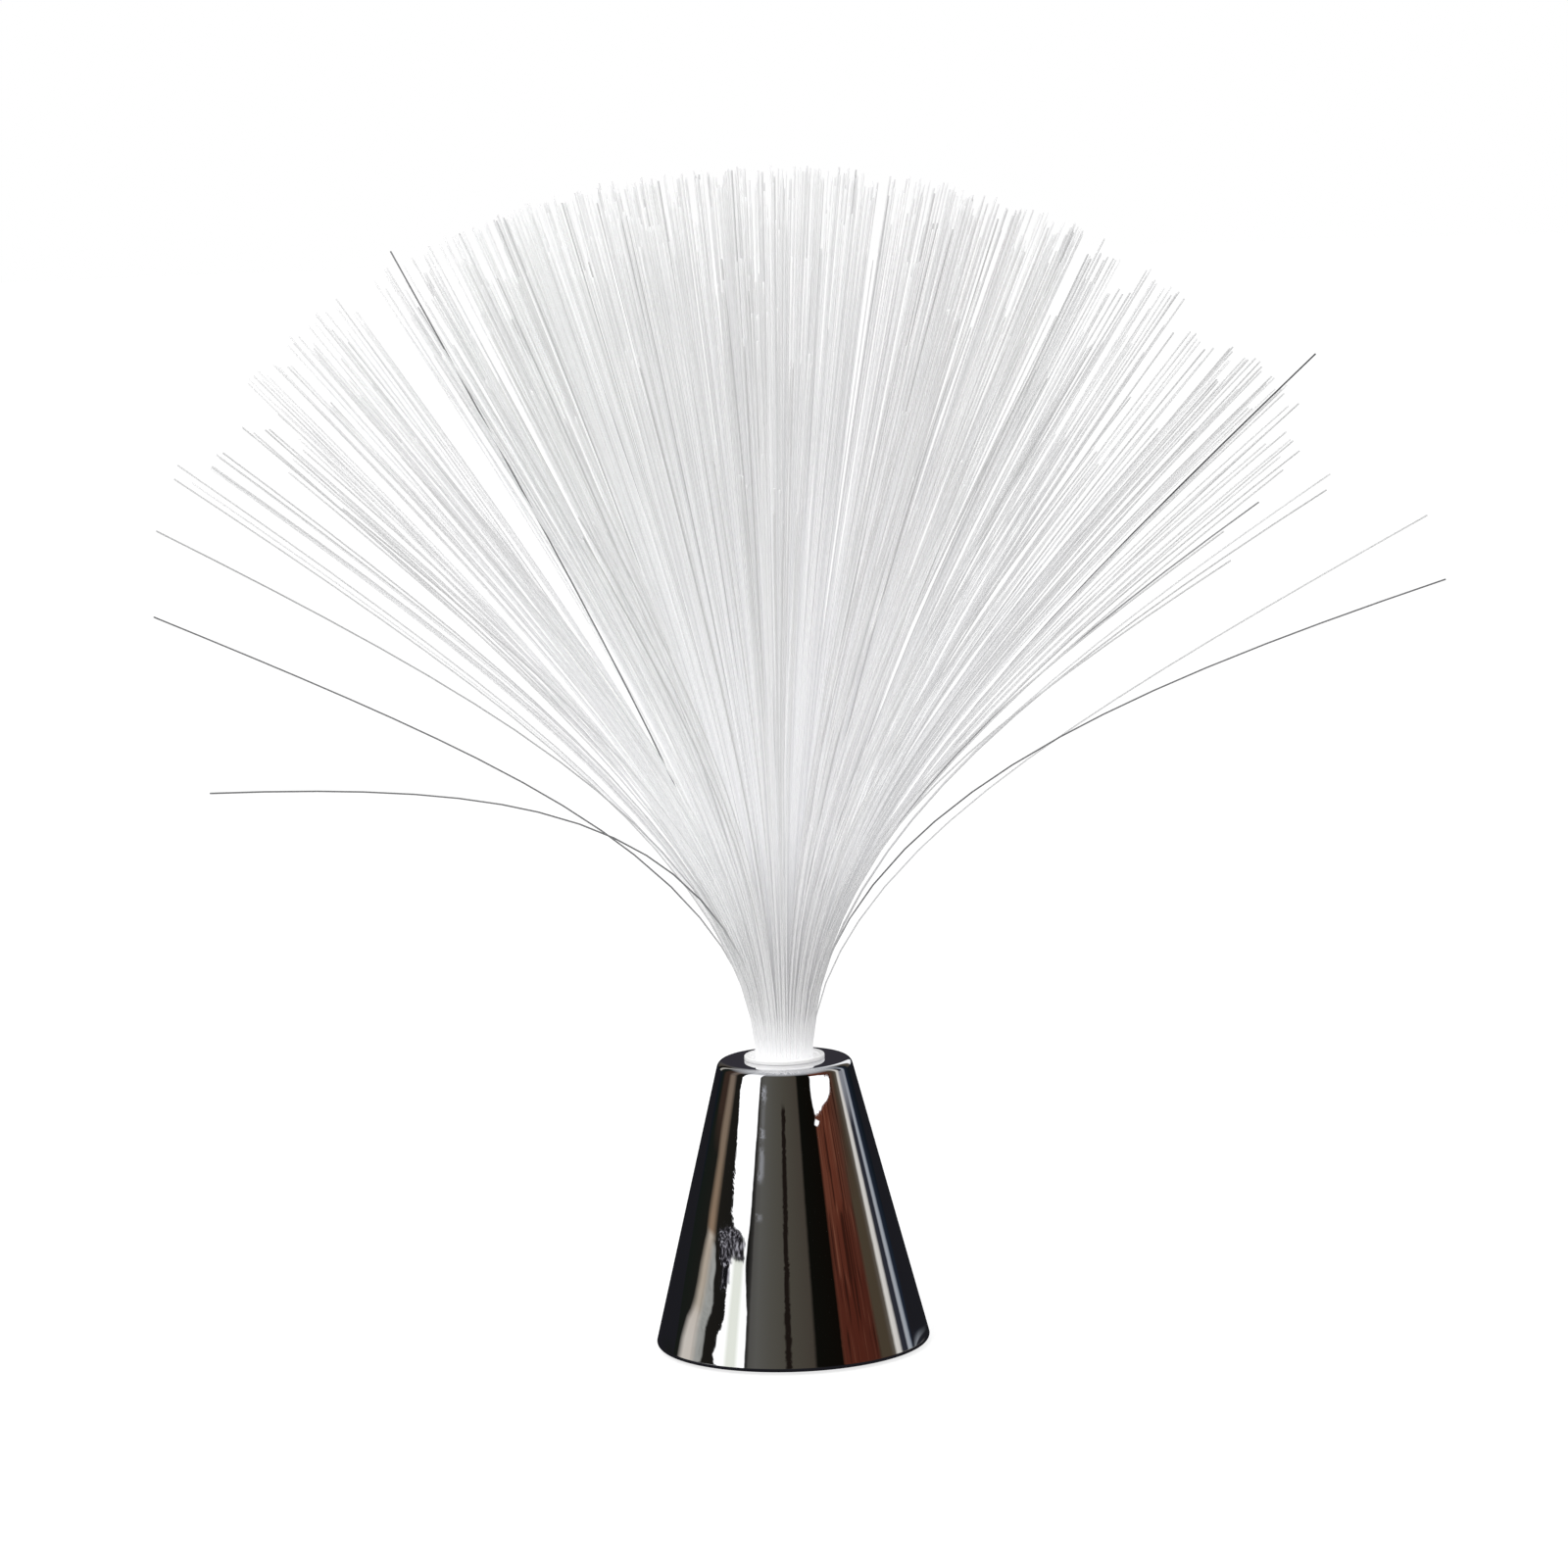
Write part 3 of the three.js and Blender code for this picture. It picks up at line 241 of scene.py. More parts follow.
def chrome(settings):
    """Vacuum plating on moulded plastic: a mirror with a slow wave in it and faint smudges."""
    made, graph = material("chrome_plating")
    where = graph.places()
    wave = graph.noise(where, scale=0.05, detail=1.0)
    smudge = graph.noise(where, scale=0.09, detail=4.0, roughness=0.6)
    clean, smudged = 0.004, 0.034
    graph.finish({
        "Base Color": rgba(settings.plating),
        "Metallic": 1.0,
        "Roughness": clean + (smudged - clean) * (smudge ** 3),
        "Normal": graph.bump(wave, strength=settings.wave, distance=0.4 * MM),
    })
    return made


def opal(settings):
    """White translucent moulding that glows where the light leaks out round the fibres."""
    made, graph = material("opal_moulding")
    where = graph.places()
    grain = graph.noise(where, scale=1.6, detail=3.0)
    height = graph.axis(where, "Z")
    glow = ((height - settings.glow_from / MM) / (settings.glow_span / MM)).clamp()
    graph.finish({
        "Base Color": graph.mix(grain, rgba((0.86, 0.86, 0.85)), rgba((0.92, 0.92, 0.91))),
        "Roughness": 0.32 + 0.1 * grain,
        "Emission Color": graph.mix(glow, rgba(BLACK), rgba((0.16, 0.16, 0.165))),
        "Emission Strength": 1.0,
        "Normal": graph.bump(grain, strength=0.08, distance=0.1 * MM),
    })
    return made


def moulded(name, color, roughness):
    """Moulded plastic or rubber with a fine grain and slightly uneven colour."""
    made, graph = material(name)
    where = graph.places()
    grain = graph.noise(where, scale=3.5, detail=4.0, roughness=0.65)
    cloud = graph.noise(where, scale=0.12, detail=3.0)
    lighter = tuple(min(1.0, 1.35 * c + 0.01) for c in color)
    graph.finish({
        "Base Color": graph.mix(cloud, rgba(color), rgba(lighter)),
        "Roughness": roughness + 0.12 * (grain - 0.5),
        "Normal": graph.bump(grain, strength=0.18, distance=0.08 * MM),
    })
    return made


def metal(name, color, roughness, stretch):
    """Plated metal with drawing marks along its length."""
    made, graph = material(name)
    where = graph.places()
    marks = graph.noise(graph.stretched(where, stretch), scale=1.0, detail=5.0, roughness=0.7)
    tarnish = graph.noise(where, scale=0.3, detail=3.0)
    darker = tuple(0.7 * c for c in color)
    graph.finish({
        "Base Color": graph.mix(tarnish, rgba(darker), rgba(color)),
        "Metallic": 1.0,
        "Roughness": roughness + 0.16 * (marks - 0.5),
        "Normal": graph.bump(marks, strength=0.12, distance=0.03 * MM),
    })
    return made


def fibre_gloss(settings):
    """Clear fibre in the mass: pale, a little different from strand to strand, lit from its foot."""
    made, graph = material("clear_fibre")
    tone = graph.node("ShaderNodeAttribute", {"attribute_name": "tone"}, {}, "Fac")
    run = graph.node("ShaderNodeAttribute", {"attribute_name": "run"}, {}, "Fac")
    base = graph.ramp(tone, [(0.0, (0.05, 0.052, 0.055)), (0.3, (0.22, 0.22, 0.225)),
                             (0.6, (0.60, 0.60, 0.60)), (1.0, (0.90, 0.90, 0.90))])
    light = graph.ramp(run, [(place, (glow, glow, BLUISH * glow)) for place, glow in FIBRE_LIGHT])
    unlit_tone, gain = 0.15, 1.3
    graph.finish({
        "Base Color": base,
        "Roughness": 0.3,
        "Specular IOR Level": 0.3,
        "Emission Color": graph.mix((tone - unlit_tone).clamp() * gain, rgba(BLACK), light),
        "Emission Strength": settings.glow,
    })
    return made


def tinted_lens(name, color):
    """Tinted clear epoxy, darker at the foot than in the dome."""
    made, graph = material(name)
    height = graph.axis(graph.places(), "Z")
    low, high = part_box(name)
    share = ((height - low.z / MM) / ((high.z - low.z) / MM)).clamp()
    dark = tuple(0.45 * c for c in color)
    graph.finish({
        "Base Color": graph.mix(share, rgba(dark), rgba(color)),
        "Roughness": 0.08,
        "Coat Weight": 1.0,
    })
    return made


def board_green():
    """Solder mask over a maze of tracks, which show a little lighter and stand proud of the board."""
    made, graph = material("solder_mask")
    where = graph.places()
    cells = graph.node("ShaderNodeTexVoronoi", {"feature": "DISTANCE_TO_EDGE"},
                       {"Vector": where, "Scale": 0.45}, "Distance")
    half_width, edge = 0.06, 0.03
    track = 1 - ((cells - half_width) / edge).clamp()
    graph.finish({
        "Base Color": graph.mix(track, rgba((0.012, 0.09, 0.035)), rgba((0.03, 0.2, 0.08))),
        "Roughness": 0.3,
        "Normal": graph.bump(track, strength=0.4, distance=0.05 * MM),
    })
    return made


def ringed(name, axis, low, high, stops):
    """Rings of colour along an axis of the model's frame, from low to high in millimetres."""
    made, graph = material(name)
    where = graph.places()
    share = ((graph.axis(where, axis) - low) / (high - low)).clamp()
    grain = graph.noise(where, scale=2.5, detail=3.0)
    graph.finish({
        "Base Color": graph.ramp(share, stops, "CONSTANT"),
        "Roughness": 0.3 + 0.15 * grain,
        "Normal": graph.bump(grain, strength=0.06, distance=0.05 * MM),
    })
    return made


def arc(centre, radius, start, stop, steps):
    """Points of an arc in the plane of radius and height."""
    turns = [start + (stop - start) * i / steps for i in range(steps + 1)]
    return [(centre[0] + radius * math.cos(t), centre[1] + radius * math.sin(t)) for t in turns]


def straight(first, last, steps):
    """Points inside a straight stretch, closer together near its ends."""
    shares = [0.5 - 0.5 * math.cos(math.pi * i / steps) for i in range(1, steps)]
    return [tuple(a + (b - a) * s for a, b in zip(first, last)) for s in shares]


def turned(outline, sides, centre=(0.0, 0.0)):
    """Places and faces of a closed outline of (radius, height) turned about an upright axis."""
    count = len(outline)
    places = []
    for i in range(sides):
        turn = 2 * math.pi * i / sides
        places += [(centre[0] + r * math.cos(turn), centre[1] + r * math.sin(turn), z) for r, z in outline]
    faces = []
    for i in range(sides):
        here, there = i * count, (i + 1) % sides * count
        for k in range(count):
            after = (k + 1) % count
            faces.append((here + k, there + k, there + after, here + after))
    return places, faces


def merged(*parts):
    places, faces = [], []
    for some_places, some_faces in parts:
        start = len(places)
        places += some_places
        faces += [tuple(start + i for i in face) for face in some_faces]
    return places, faces


def add_piece(name, shape, finish, body, slot, *nodes, sharp=35):
    """A smooth mesh that rides on a body and stands for some nodes of the model."""
    mesh = bpy.data.meshes.new(name)
    places, faces = shape
    mesh.from_pydata(places, [], faces)
    mesh.validate()
    mesh.shade_smooth()
    mesh.set_sharp_from_angle(angle=math.radians(sharp))
    mesh.materials.append(finish)
    piece = bpy.data.objects.new(name, mesh)
    bpy.context.scene.collection.objects.link(piece)
    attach(piece, body)
    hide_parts(*nodes)


def dress(nodes, finish):
    """Gives carried nodes of the model a material."""
    for node in nodes:
        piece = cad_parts[node]
        piece.data.materials.clear()
        piece.data.materials.append(finish)


class ConeSettings(bpy.types.PropertyGroup):
    """Sizes and finish of the chromed cone."""

    sides: IntProperty(name="Sides", description="Faces round the cone", default=256, min=48, max=512)
    plating: FloatVectorProperty(name="Plating", description="Colour of the chrome", subtype="COLOR",
                                 default=(0.93, 0.93, 0.945), min=0.0, max=1.0)
    wave: FloatProperty(name="Wave", description="How much the moulding under the chrome waves",
                        default=0.12, min=0.0, max=1.0, subtype="FACTOR")


class SocketSettings(bpy.types.PropertyGroup):
    """Glow of the white socket and sleeve."""

    glow_from: FloatProperty(name="Glow From", description="Height at which the glow starts",
                             default=0.074, unit="LENGTH")
    glow_span: FloatProperty(name="Glow Span", description="Height over which the glow grows",
                             default=0.006, unit="LENGTH")


class FibreSettings(bpy.types.PropertyGroup):
    """Number, size and bend of the fibres."""

    count: IntProperty(name="Count", description="Fibres in the fan", default=1100, min=100, max=2000)
    radius: FloatProperty(name="Radius", description="Radius of a fibre", default=0.00023, unit="LENGTH",
                          precision=5)
    reach: FloatProperty(name="Reach", description="Length of a fibre above the sleeve's mouth",
                         default=0.2415, unit="LENGTH")
    bend: FloatProperty(name="Bend", description="Length over which a fibre leans out of the bundle",
                        default=0.058, unit="LENGTH")
    jag: FloatProperty(name="Jag", description="Spread of the cut ends", default=0.0022, unit="LENGTH")
    left_shortfall: FloatProperty(name="Left Shortfall", default=0.015, unit="LENGTH",
                                  description="How much shorter the outermost fibres on the left are")
    right_shortfall: FloatProperty(name="Right Shortfall", default=0.0255, unit="LENGTH",
                                   description="How much shorter the outermost fibres on the right are")
    lean: FloatProperty(name="Lean", description="Lean of an outermost fibre", default=math.radians(62.8),
                        subtype="ANGLE")
    spread: FloatProperty(name="Spread", description="Lean of a typical fibre", default=math.radians(21.8),
                          subtype="ANGLE")
    tuft: FloatProperty(name="Tuft", description="How far fibres draw together in tufts", default=1.0,
                        min=0.0, max=1.0, subtype="FACTOR")
    tufts: IntProperty(name="Tufts", description="Number of tufts", default=72, min=1, max=500)
    widening: FloatProperty(name="Widening", description="How much further fibres on the right lean out",
                            default=0.087, min=0.0, max=0.5, subtype="FACTOR")
    late_bend: FloatProperty(name="Late Bend", description="How much later fibres on the right lean out, and "
                             "how much sooner on the left", default=0.04, min=0.0, max=0.5, subtype="FACTOR")
    glow: FloatProperty(name="Glow", description="Strength of the light inside the fibres", default=1.0)


class StageSettings(bpy.types.PropertyGroup):
    """Camera and light."""

    focal: FloatProperty(name="Focal Length", description="Lens in millimetres on 36 mm film",
                         default=128.52)
    distance: FloatProperty(name="Distance", description="Camera in front of the lamp", default=1.5,
                            unit="LENGTH")
    height: FloatProperty(name="Height", description="Camera above the table", default=0.3719,
                          unit="LENGTH")
    pitch: FloatProperty(name="Pitch", description="How far the camera looks down",
                         default=math.radians(8.231), subtype="ANGLE")
    roll: FloatProperty(name="Roll", description="How far the camera is tilted", default=math.radians(1.829),
                        subtype="ANGLE")
    ambient: FloatProperty(name="Ambient", description="Strength of the light from all round", default=0.72)
    key: FloatProperty(name="Key", description="Power of the large lamp", default=22.0, unit="POWER")


class LAMP_OT_cone(bpy.types.Operator):
    """Make the chromed cone with its rolled rim, and the bosses inside it"""

    bl_idname = "lamp.cone"
    bl_label = "Cone"

    def execute(self, context):
        settings = context.scene.lamp_cone
        low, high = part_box("base_shell")
        widest = high.x
        rim_height = low.z + RIM_ROUND
        slope = (widest - TOP_RADIUS) / (high.z - rim_height)
        tilt = math.atan(slope)
        level = RIM_ROUND / math.cos(tilt)
        rim = arc((widest - level, rim_height), RIM_ROUND, -math.pi / 2, tilt, steps=10)
        crown_height = high.z - TOP_ROUND
        crown_radius = widest - slope * (crown_height - rim_height) - TOP_ROUND / math.cos(tilt)
        crown = arc((crown_radius, crown_height), TOP_ROUND, tilt, math.pi / 2, steps=14)
        wall = CONE_WALL / math.cos(tilt)
        hole = SOCKET_TUBE + SEAT_GAP
        ceiling = high.z - CONE_WALL
        inside = [(widest - slope * (z - rim_height) - wall, z) for z in (ceiling, low.z)]
        outline = [*rim, *straight(rim[-1], crown[0], steps=40), *crown,
                   *straight(crown[-1], (hole, high.z), steps=8), (hole, high.z), (hole, ceiling),
                   inside[0], *straight(*inside, steps=8), inside[1]]
        bosses = held_inside(merged(*self.bosses(ceiling)),
                             lambda z: widest - slope * (z - rim_height) - wall / 2)
        shape = merged(turned(outline, settings.sides), bosses)
        add_piece("cone_shell", shape, chrome(settings), "base", "chromed_plastic", "base_shell", sharp=40)
        return {"FINISHED"}

    @staticmethod
    def bosses(ceiling):
        parts = []
        for node in ("plate_screw_1", "plate_screw_2", "plate_screw_3"):
            parts.append(boss(BOSS_RADIUS, *BOSS_SPAN, middle_of(node)))
        for node in ("tunnel_screw_1", "tunnel_screw_2"):
            parts.append(boss(HANGER_RADIUS, HANGER_FOOT, ceiling, middle_of(node)))
        return parts


def middle_of(node):
    low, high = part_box(node)
    return (low.x + high.x) / 2, (low.y + high.y) / 2


def boss(radius, low, high, centre):
    """An upright tube with a pilot hole, at so many levels that it can follow the cone's wall."""
    heights = np.linspace(low, high, BOSS_LEVELS).tolist()
    outline = [(PILOT_RADIUS, low), *((radius, z) for z in heights), (PILOT_RADIUS, high)]
    return turned(outline, BOSS_SIDES, centre)


def held_inside(shape, limit):
    """Draws the places of a shape that would reach past a radius, given by height, back to it."""
    places, faces = shape
    drawn = []
    for x, y, z in places:
        share = min(1.0, limit(z) / math.hypot(x, y))
        drawn.append((x * share, y * share, z))
    return drawn, faces


class LAMP_OT_socket(bpy.types.Operator):
    """Make the white socket with its flange, the sleeve of the spray and the rubber grip ring"""

    bl_idname = "lamp.socket"
    bl_label = "Socket and Sleeve"

    def execute(self, context):
        finish = opal(context.scene.lamp_socket)
        low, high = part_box("socket")
        cone_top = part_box("base_shell")[1].z
        flange = arc((high.x - FLANGE_ROUND, high.z - FLANGE_ROUND), FLANGE_ROUND, 0, math.pi / 2, steps=6)
        round_middle = (SOCKET_BORE + FLANGE_ROUND, high.z - FLANGE_ROUND)
        mouth = arc(round_middle, FLANGE_ROUND, math.pi / 2, math.pi, steps=6)
        foot = cone_top + FLANGE_GAP
        outline = [(SOCKET_TUBE, low.z), (SOCKET_TUBE, foot), (high.x, foot), *flange, *mouth,
                   (SOCKET_BORE, SHOULDER_TOP), (SLEEVE_BORE, SHOULDER_TOP), (SLEEVE_BORE, low.z)]
        shape = turned(outline, MOULDING_SIDES)
        add_piece("socket_moulding", shape, finish, "base", "opal_plastic", "socket")
        self.sleeve(finish)
        self.ring()
        return {"FINISHED"}

    @staticmethod
    def sleeve(finish):
        low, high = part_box("spray_sleeve")
        ring_low, ring_high = (corner.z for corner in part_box("grip_ring"))
        outer, inner = high.x, SLEEVE_BORE
        groove = outer - RING_GROOVE
        wall = outer - inner
        lip = arc((inner + wall / 2, high.z - wall / 2), wall / 2, 0, math.pi, steps=8)
        under, over = ring_low - RUN_GAP, ring_high + RUN_GAP
        outline = [(inner, low.z), (outer, low.z), (outer, under), (groove, under), (groove, over),
                   (outer, over), *lip]
        shape = turned(outline, MOULDING_SIDES)
        add_piece("sleeve_moulding", shape, finish, "spray", "opal_plastic", "spray_sleeve")

    @staticmethod
    def ring():
        low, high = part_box("grip_ring")
        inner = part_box("spray_sleeve")[1].x - RING_GROOVE + RUN_GAP
        radius = (high.x - inner) / 2
        middle = (low.z + high.z) / 2
        half = (high.z - low.z) / 2
        bulge = arc((inner + radius, 0.0), radius, -math.pi / 2, math.pi / 2, steps=10)
        bulge = [(r, middle + z * half / radius) for r, z in bulge]
        shape = turned([(inner, low.z), *bulge[1:-1], (inner, high.z)], MOULDING_SIDES)
        finish = moulded("grip_rubber", (0.014, 0.014, 0.015), 0.7)
        add_piece("grip_ring_rubber", shape, finish, "grip_ring", "rubber", "grip_ring")


# Fibres that stand apart from the fan, and two darker ones in it: azimuth and lean in degrees, bend and
# length as shares of the two values below, and the tone. Most leans, bends and lengths come from a
# least-squares fit to points read off the photograph. The row at 98 degrees was placed freely, at the back
STRAYS = [
    (231.4, 86.0, 1.172, 1.046, 0.24),
    (148.0, 73.8, 0.783, 1.018, 0.22),
    (-29.1, 73.1, 1.153, 1.020, 0.20),
    (211.5, 62.5, 1.052, 1.016, 0.50),
    (12.9, 50.3, 0.997, 1.012, 0.08),
    (4.0, 63.2, 0.830, 0.964, 0.66),
    (98.0, 60.0, 0.966, 0.983, 0.60),
    (190.0, 26.9, 0.747, 1.012, 0.25),
    (-20.0, 57.9, 1.154, 0.861, 0.35),
]
STRAY_BEND = 58 * MM
STRAY_REACH = 240 * MM
GOLDEN = math.pi * (3 - math.sqrt(5))
SHORTFALL_POWER = 2.3  # how sharply the shortening sets in with the lean
SEED = 190  # of 222 tried, the one that came closest to the photograph's fan
# Rounds in which fibres draw together in tufts: how many times the set number of tufts, how far a fibre
# follows the leader of its tuft, and by how many degrees the tuft strays
TUFT_ROUNDS = [(1, 0.3, 1.4), (4, 0.8, 1.0)]
TUFT_TURN = 1  # radians by which the tufts' spiral is turned from the fibres'
CALM_LEAN = math.radians(20)  # fibres that lean less than this draw together less
OWN_SWAY = math.radians(0.35)
EDGE_MARGIN = 0.15 * MM  # between the outermost fibres and the rim of the bundle
BEND_SPREAD = 0.08  # by what share bends differ from one another
CURL = 1.5 * MM  # how far a typical tip strays sideways
# Tone of a fibre, from 0 for dark to 1 for pale: the least of an upright one, how much it varies, how much
# less an outermost one has, and the share of darker fibres and theirs
TONE, TONE_SPREAD, TONE_LOSS = 0.76, 0.24, 0.18
DARKER_SHARE, DARKER_TONE = 0.05, 0.58


def lean_at(settings, share):
    """Lean of a fibre by its share of the bundle's radius: most stand close to upright."""
    widest = 1 - math.exp(-((settings.lean / settings.spread) ** 2) / 2)
    return settings.spread * np.sqrt(-2 * np.log(1 - widest * share ** 2))


def fan(settings):
    """Root, azimuth, lean, bend, length, curl and tone of each fibre, one row each."""
    rng = np.random.default_rng(SEED)
    number = np.arange(settings.count)
    share = np.sqrt((number + 0.5) / settings.count)
    azimuth = number * GOLDEN
    edge = BUNDLE_RADIUS - settings.radius - EDGE_MARGIN
    roots = edge * share[:, None] * np.stack([np.cos(azimuth), np.sin(azimuth)], 1)
    to_right = np.cos(azimuth)
    rightness = (1 + to_right) / 2
    lean = lean_at(settings, share) * (1 + settings.widening * rightness)
    heading = lean[:, None] * np.stack([np.cos(azimuth), np.sin(azimuth)], 1)
    calm = np.clip(lean / CALM_LEAN, 0, 1)[:, None]
    for times, pull, sway in TUFT_ROUNDS:
        tufts = times * settings.tufts
        nearest = gathered(roots, tufts, edge)
        order = np.argsort(rng.uniform(0, 1, len(number)) - share)
        member, first = np.unique(nearest[order], return_index=True)
        leader = np.zeros((tufts, 2))
        leader[member] = heading[order[first]]
        drift = rng.normal(0, math.radians(sway), (tufts, 2))
        heading = heading + calm * (pull * settings.tuft * (leader[nearest] - heading) + drift[nearest])
    heading = heading + rng.normal(0, OWN_SWAY, heading.shape)
    lean = np.linalg.norm(heading, axis=1)
    azimuth = np.arctan2(heading[:, 1], heading[:, 0])
    rightness = (1 + np.cos(azimuth)) / 2
    outermost = settings.left_shortfall + (settings.right_shortfall - settings.left_shortfall) * rightness
    shortfall = outermost * (lean / settings.lean) ** SHORTFALL_POWER
    length = settings.reach - settings.jag * rng.uniform(-0.5, 0.5, len(number)) - shortfall
    bend = settings.bend * (1 + settings.late_bend * to_right)
    bend = bend * (1 + BEND_SPREAD * rng.uniform(-1, 1, len(number)))
    curl = rng.normal(0, CURL, len(number))
    tone = TONE + TONE_SPREAD * rng.uniform(0, 1, len(number)) - TONE_LOSS * (lean / settings.lean) ** 2
    tone[rng.uniform(0, 1, len(number)) < DARKER_SHARE] = DARKER_TONE
    return np.column_stack([roots, azimuth, lean, bend, length, curl, tone])


def gathered(roots, tufts, edge):
    """The tuft that each fibre belongs to, from where it is rooted."""
    number = np.arange(tufts)
    reach = edge * np.sqrt((number + 0.5) / tufts)
    turn = number * GOLDEN + TUFT_TURN
    middles = np.stack([reach * np.cos(turn), reach * np.sin(turn)], 1)
    return np.linalg.norm(roots[:, None] - middles[None], axis=2).argmin(1)


def strays(settings):
    """The same rows for the fibres that stand apart."""
    rows = []
    root = BUNDLE_RADIUS - 2 * settings.radius
    for azimuth, lean, bend, length, tone in STRAYS:
        turn = math.radians(azimuth)
        rows.append((root * math.cos(turn), root * math.sin(turn), turn, math.radians(lean),
                     bend * STRAY_BEND, length * STRAY_REACH, 0.0, tone))
    return np.array(rows)


ROOT_DEPTH = 0.6 * MM  # how far below the sleeve's mouth the fibres start
SUMMED_STEPS = 120  # in which a fibre's course is summed up, before the mesh takes some of its points
CROWDING = 1.35  # how much closer to one another the points lie near the root


def fibre_lines(rows, foot, steps):
    """Points along each fibre from its foot, two directions across it there, and the share of its length."""
    azimuth, lean, bend, length, curl = rows[:, 2:7].T
    share = (np.arange(SUMMED_STEPS) + 0.5) / SUMMED_STEPS
    tilt = lean[:, None] * (1 - np.exp(-share[None] * (length / bend)[:, None]))
    step = (length / SUMMED_STEPS)[:, None]
    out = np.concatenate([np.zeros((len(rows), 1)), np.cumsum(step * np.sin(tilt), 1)], 1)
    up = np.concatenate([np.zeros((len(rows), 1)), np.cumsum(step * np.cos(tilt), 1)], 1)
    marks = (np.arange(steps + 1) / steps) ** CROWDING
    index = np.round(marks * SUMMED_STEPS).astype(int)
    out, up, run = out[:, index], up[:, index], index / SUMMED_STEPS
    toward = np.stack([np.cos(azimuth), np.sin(azimuth), 0 * azimuth], 1)
    side = np.stack([-np.sin(azimuth), np.cos(azimuth), 0 * azimuth], 1)
    root = np.column_stack([rows[:, :2], np.full(len(rows), foot)])
    sideways = curl[:, None] * run ** 2
    points = (root[:, None] + out[..., None] * toward[:, None] + sideways[..., None] * side[:, None]
              + up[..., None] * np.array([0, 0, 1]))
    tangent = np.gradient(points, axis=1)
    tangent /= np.linalg.norm(tangent, axis=2, keepdims=True)
    across = side[:, None] - (side[:, None] * tangent).sum(2, keepdims=True) * tangent
    across /= np.linalg.norm(across, axis=2, keepdims=True)
    return points, across, np.cross(tangent, across), run


# Share of the length where the painted light just above the sleeve's mouth begins to fade, over which it
# fades, and the pale tone it lifts the fibres to
NECK_SHARE, NECK_FADE_SHARE, NECK_LIGHT_TONE = 0.08, 0.14, 0.85
# The rim of the bundle is shaded above the sleeve: share of the length, on how much to either side, how much
# darker, and how closely it keeps to the rim
SHADE_SHARE, SHADE_SPAN_SHARE, SHADE_LOSS, SHADE_POWER = 0.1, 0.12, 0.17, 8
SLUG_TONE = 0.8


def fibre_mesh(name, rows, radius, mouth, slug, steps=18, sides=6):
    """A quarter of the spray: its fibres as tubes with cut ends, and the potted root below them."""
    points, across, over, run = fibre_lines(rows, mouth - ROOT_DEPTH, steps)
    turns = 2 * np.pi * np.arange(sides) / sides
    ring = (np.cos(turns)[None, None, :, None] * across[:, :, None]
            + np.sin(turns)[None, None, :, None] * over[:, :, None])
    tubes = (points[:, :, None] + radius * ring).reshape(-1, 3)
    start = (np.arange(len(rows)) * (steps + 1) * sides)[:, None, None]
    low = start + (np.arange(steps) * sides)[None, :, None]
    here, there = np.arange(sides), (np.arange(sides) + 1) % sides
    quads = np.stack([low + here, low + there, low + there + sides, low + here + sides], -1).reshape(-1, 4)
    caps = (start[:, 0] + steps * sides) + here
    slug_places, slug_faces = slug
    faces = quads.tolist() + caps.tolist() + [[len(tubes) + i for i in face] for face in slug_faces]
    mesh = bpy.data.meshes.new(name)
    mesh.from_pydata(tubes.tolist() + [tuple(p) for p in slug_places], [], faces)
    smooth = np.zeros(len(faces), bool)
    smooth[:len(quads)] = True
    mesh.polygons.foreach_set("use_smooth", smooth)
    # Painted light: the tone rises towards a pale one just above the sleeve's mouth, and painted shade
    # darkens the rim fibres over about the same stretch
    neck_light = np.clip(1 - (run - NECK_SHARE) / NECK_FADE_SHARE, 0, 1)
    shaded = np.clip(1 - np.abs(run - SHADE_SHARE) / SHADE_SPAN_SHARE, 0, 1)
    rim = (np.hypot(rows[:, 0], rows[:, 1]) / BUNDLE_RADIUS) ** SHADE_POWER
    tone = rows[:, 7:] + np.clip(NECK_LIGHT_TONE - rows[:, 7:], 0, 1) * neck_light - SHADE_LOSS * rim[:, None] * shaded
    tone = np.repeat(tone.ravel(), sides)
    runs = np.tile(np.repeat(run, sides), len(rows))
    for label, values, of_slug in (("tone", tone, SLUG_TONE), ("run", runs, 0.0)):
        layer = mesh.attributes.new(label, "FLOAT", "POINT")
        values = np.concatenate([values, np.full(len(slug_places), of_slug)])
        layer.data.foreach_set("value", values.astype(np.float32))
    layer = mesh.uv_layers.new(name="OFBake")
    layer.data.foreach_set("uv", flat_map(len(rows), steps, sides, run, slug_faces).astype(np.float32))
    return mesh


# Shares of the flat map: of a column's width, the margin of a tube and the half width of an end; of the map's
# height, the foot and the length of the tubes, and the middle and half height of their cut ends
MARGIN_SHARE, HALF_SHARE = 0.15, 0.4
FOOT_SHARE, LENGTH_SHARE, END_SHARE, END_HALF_SHARE = 0.01, 0.96, 0.985, 0.01


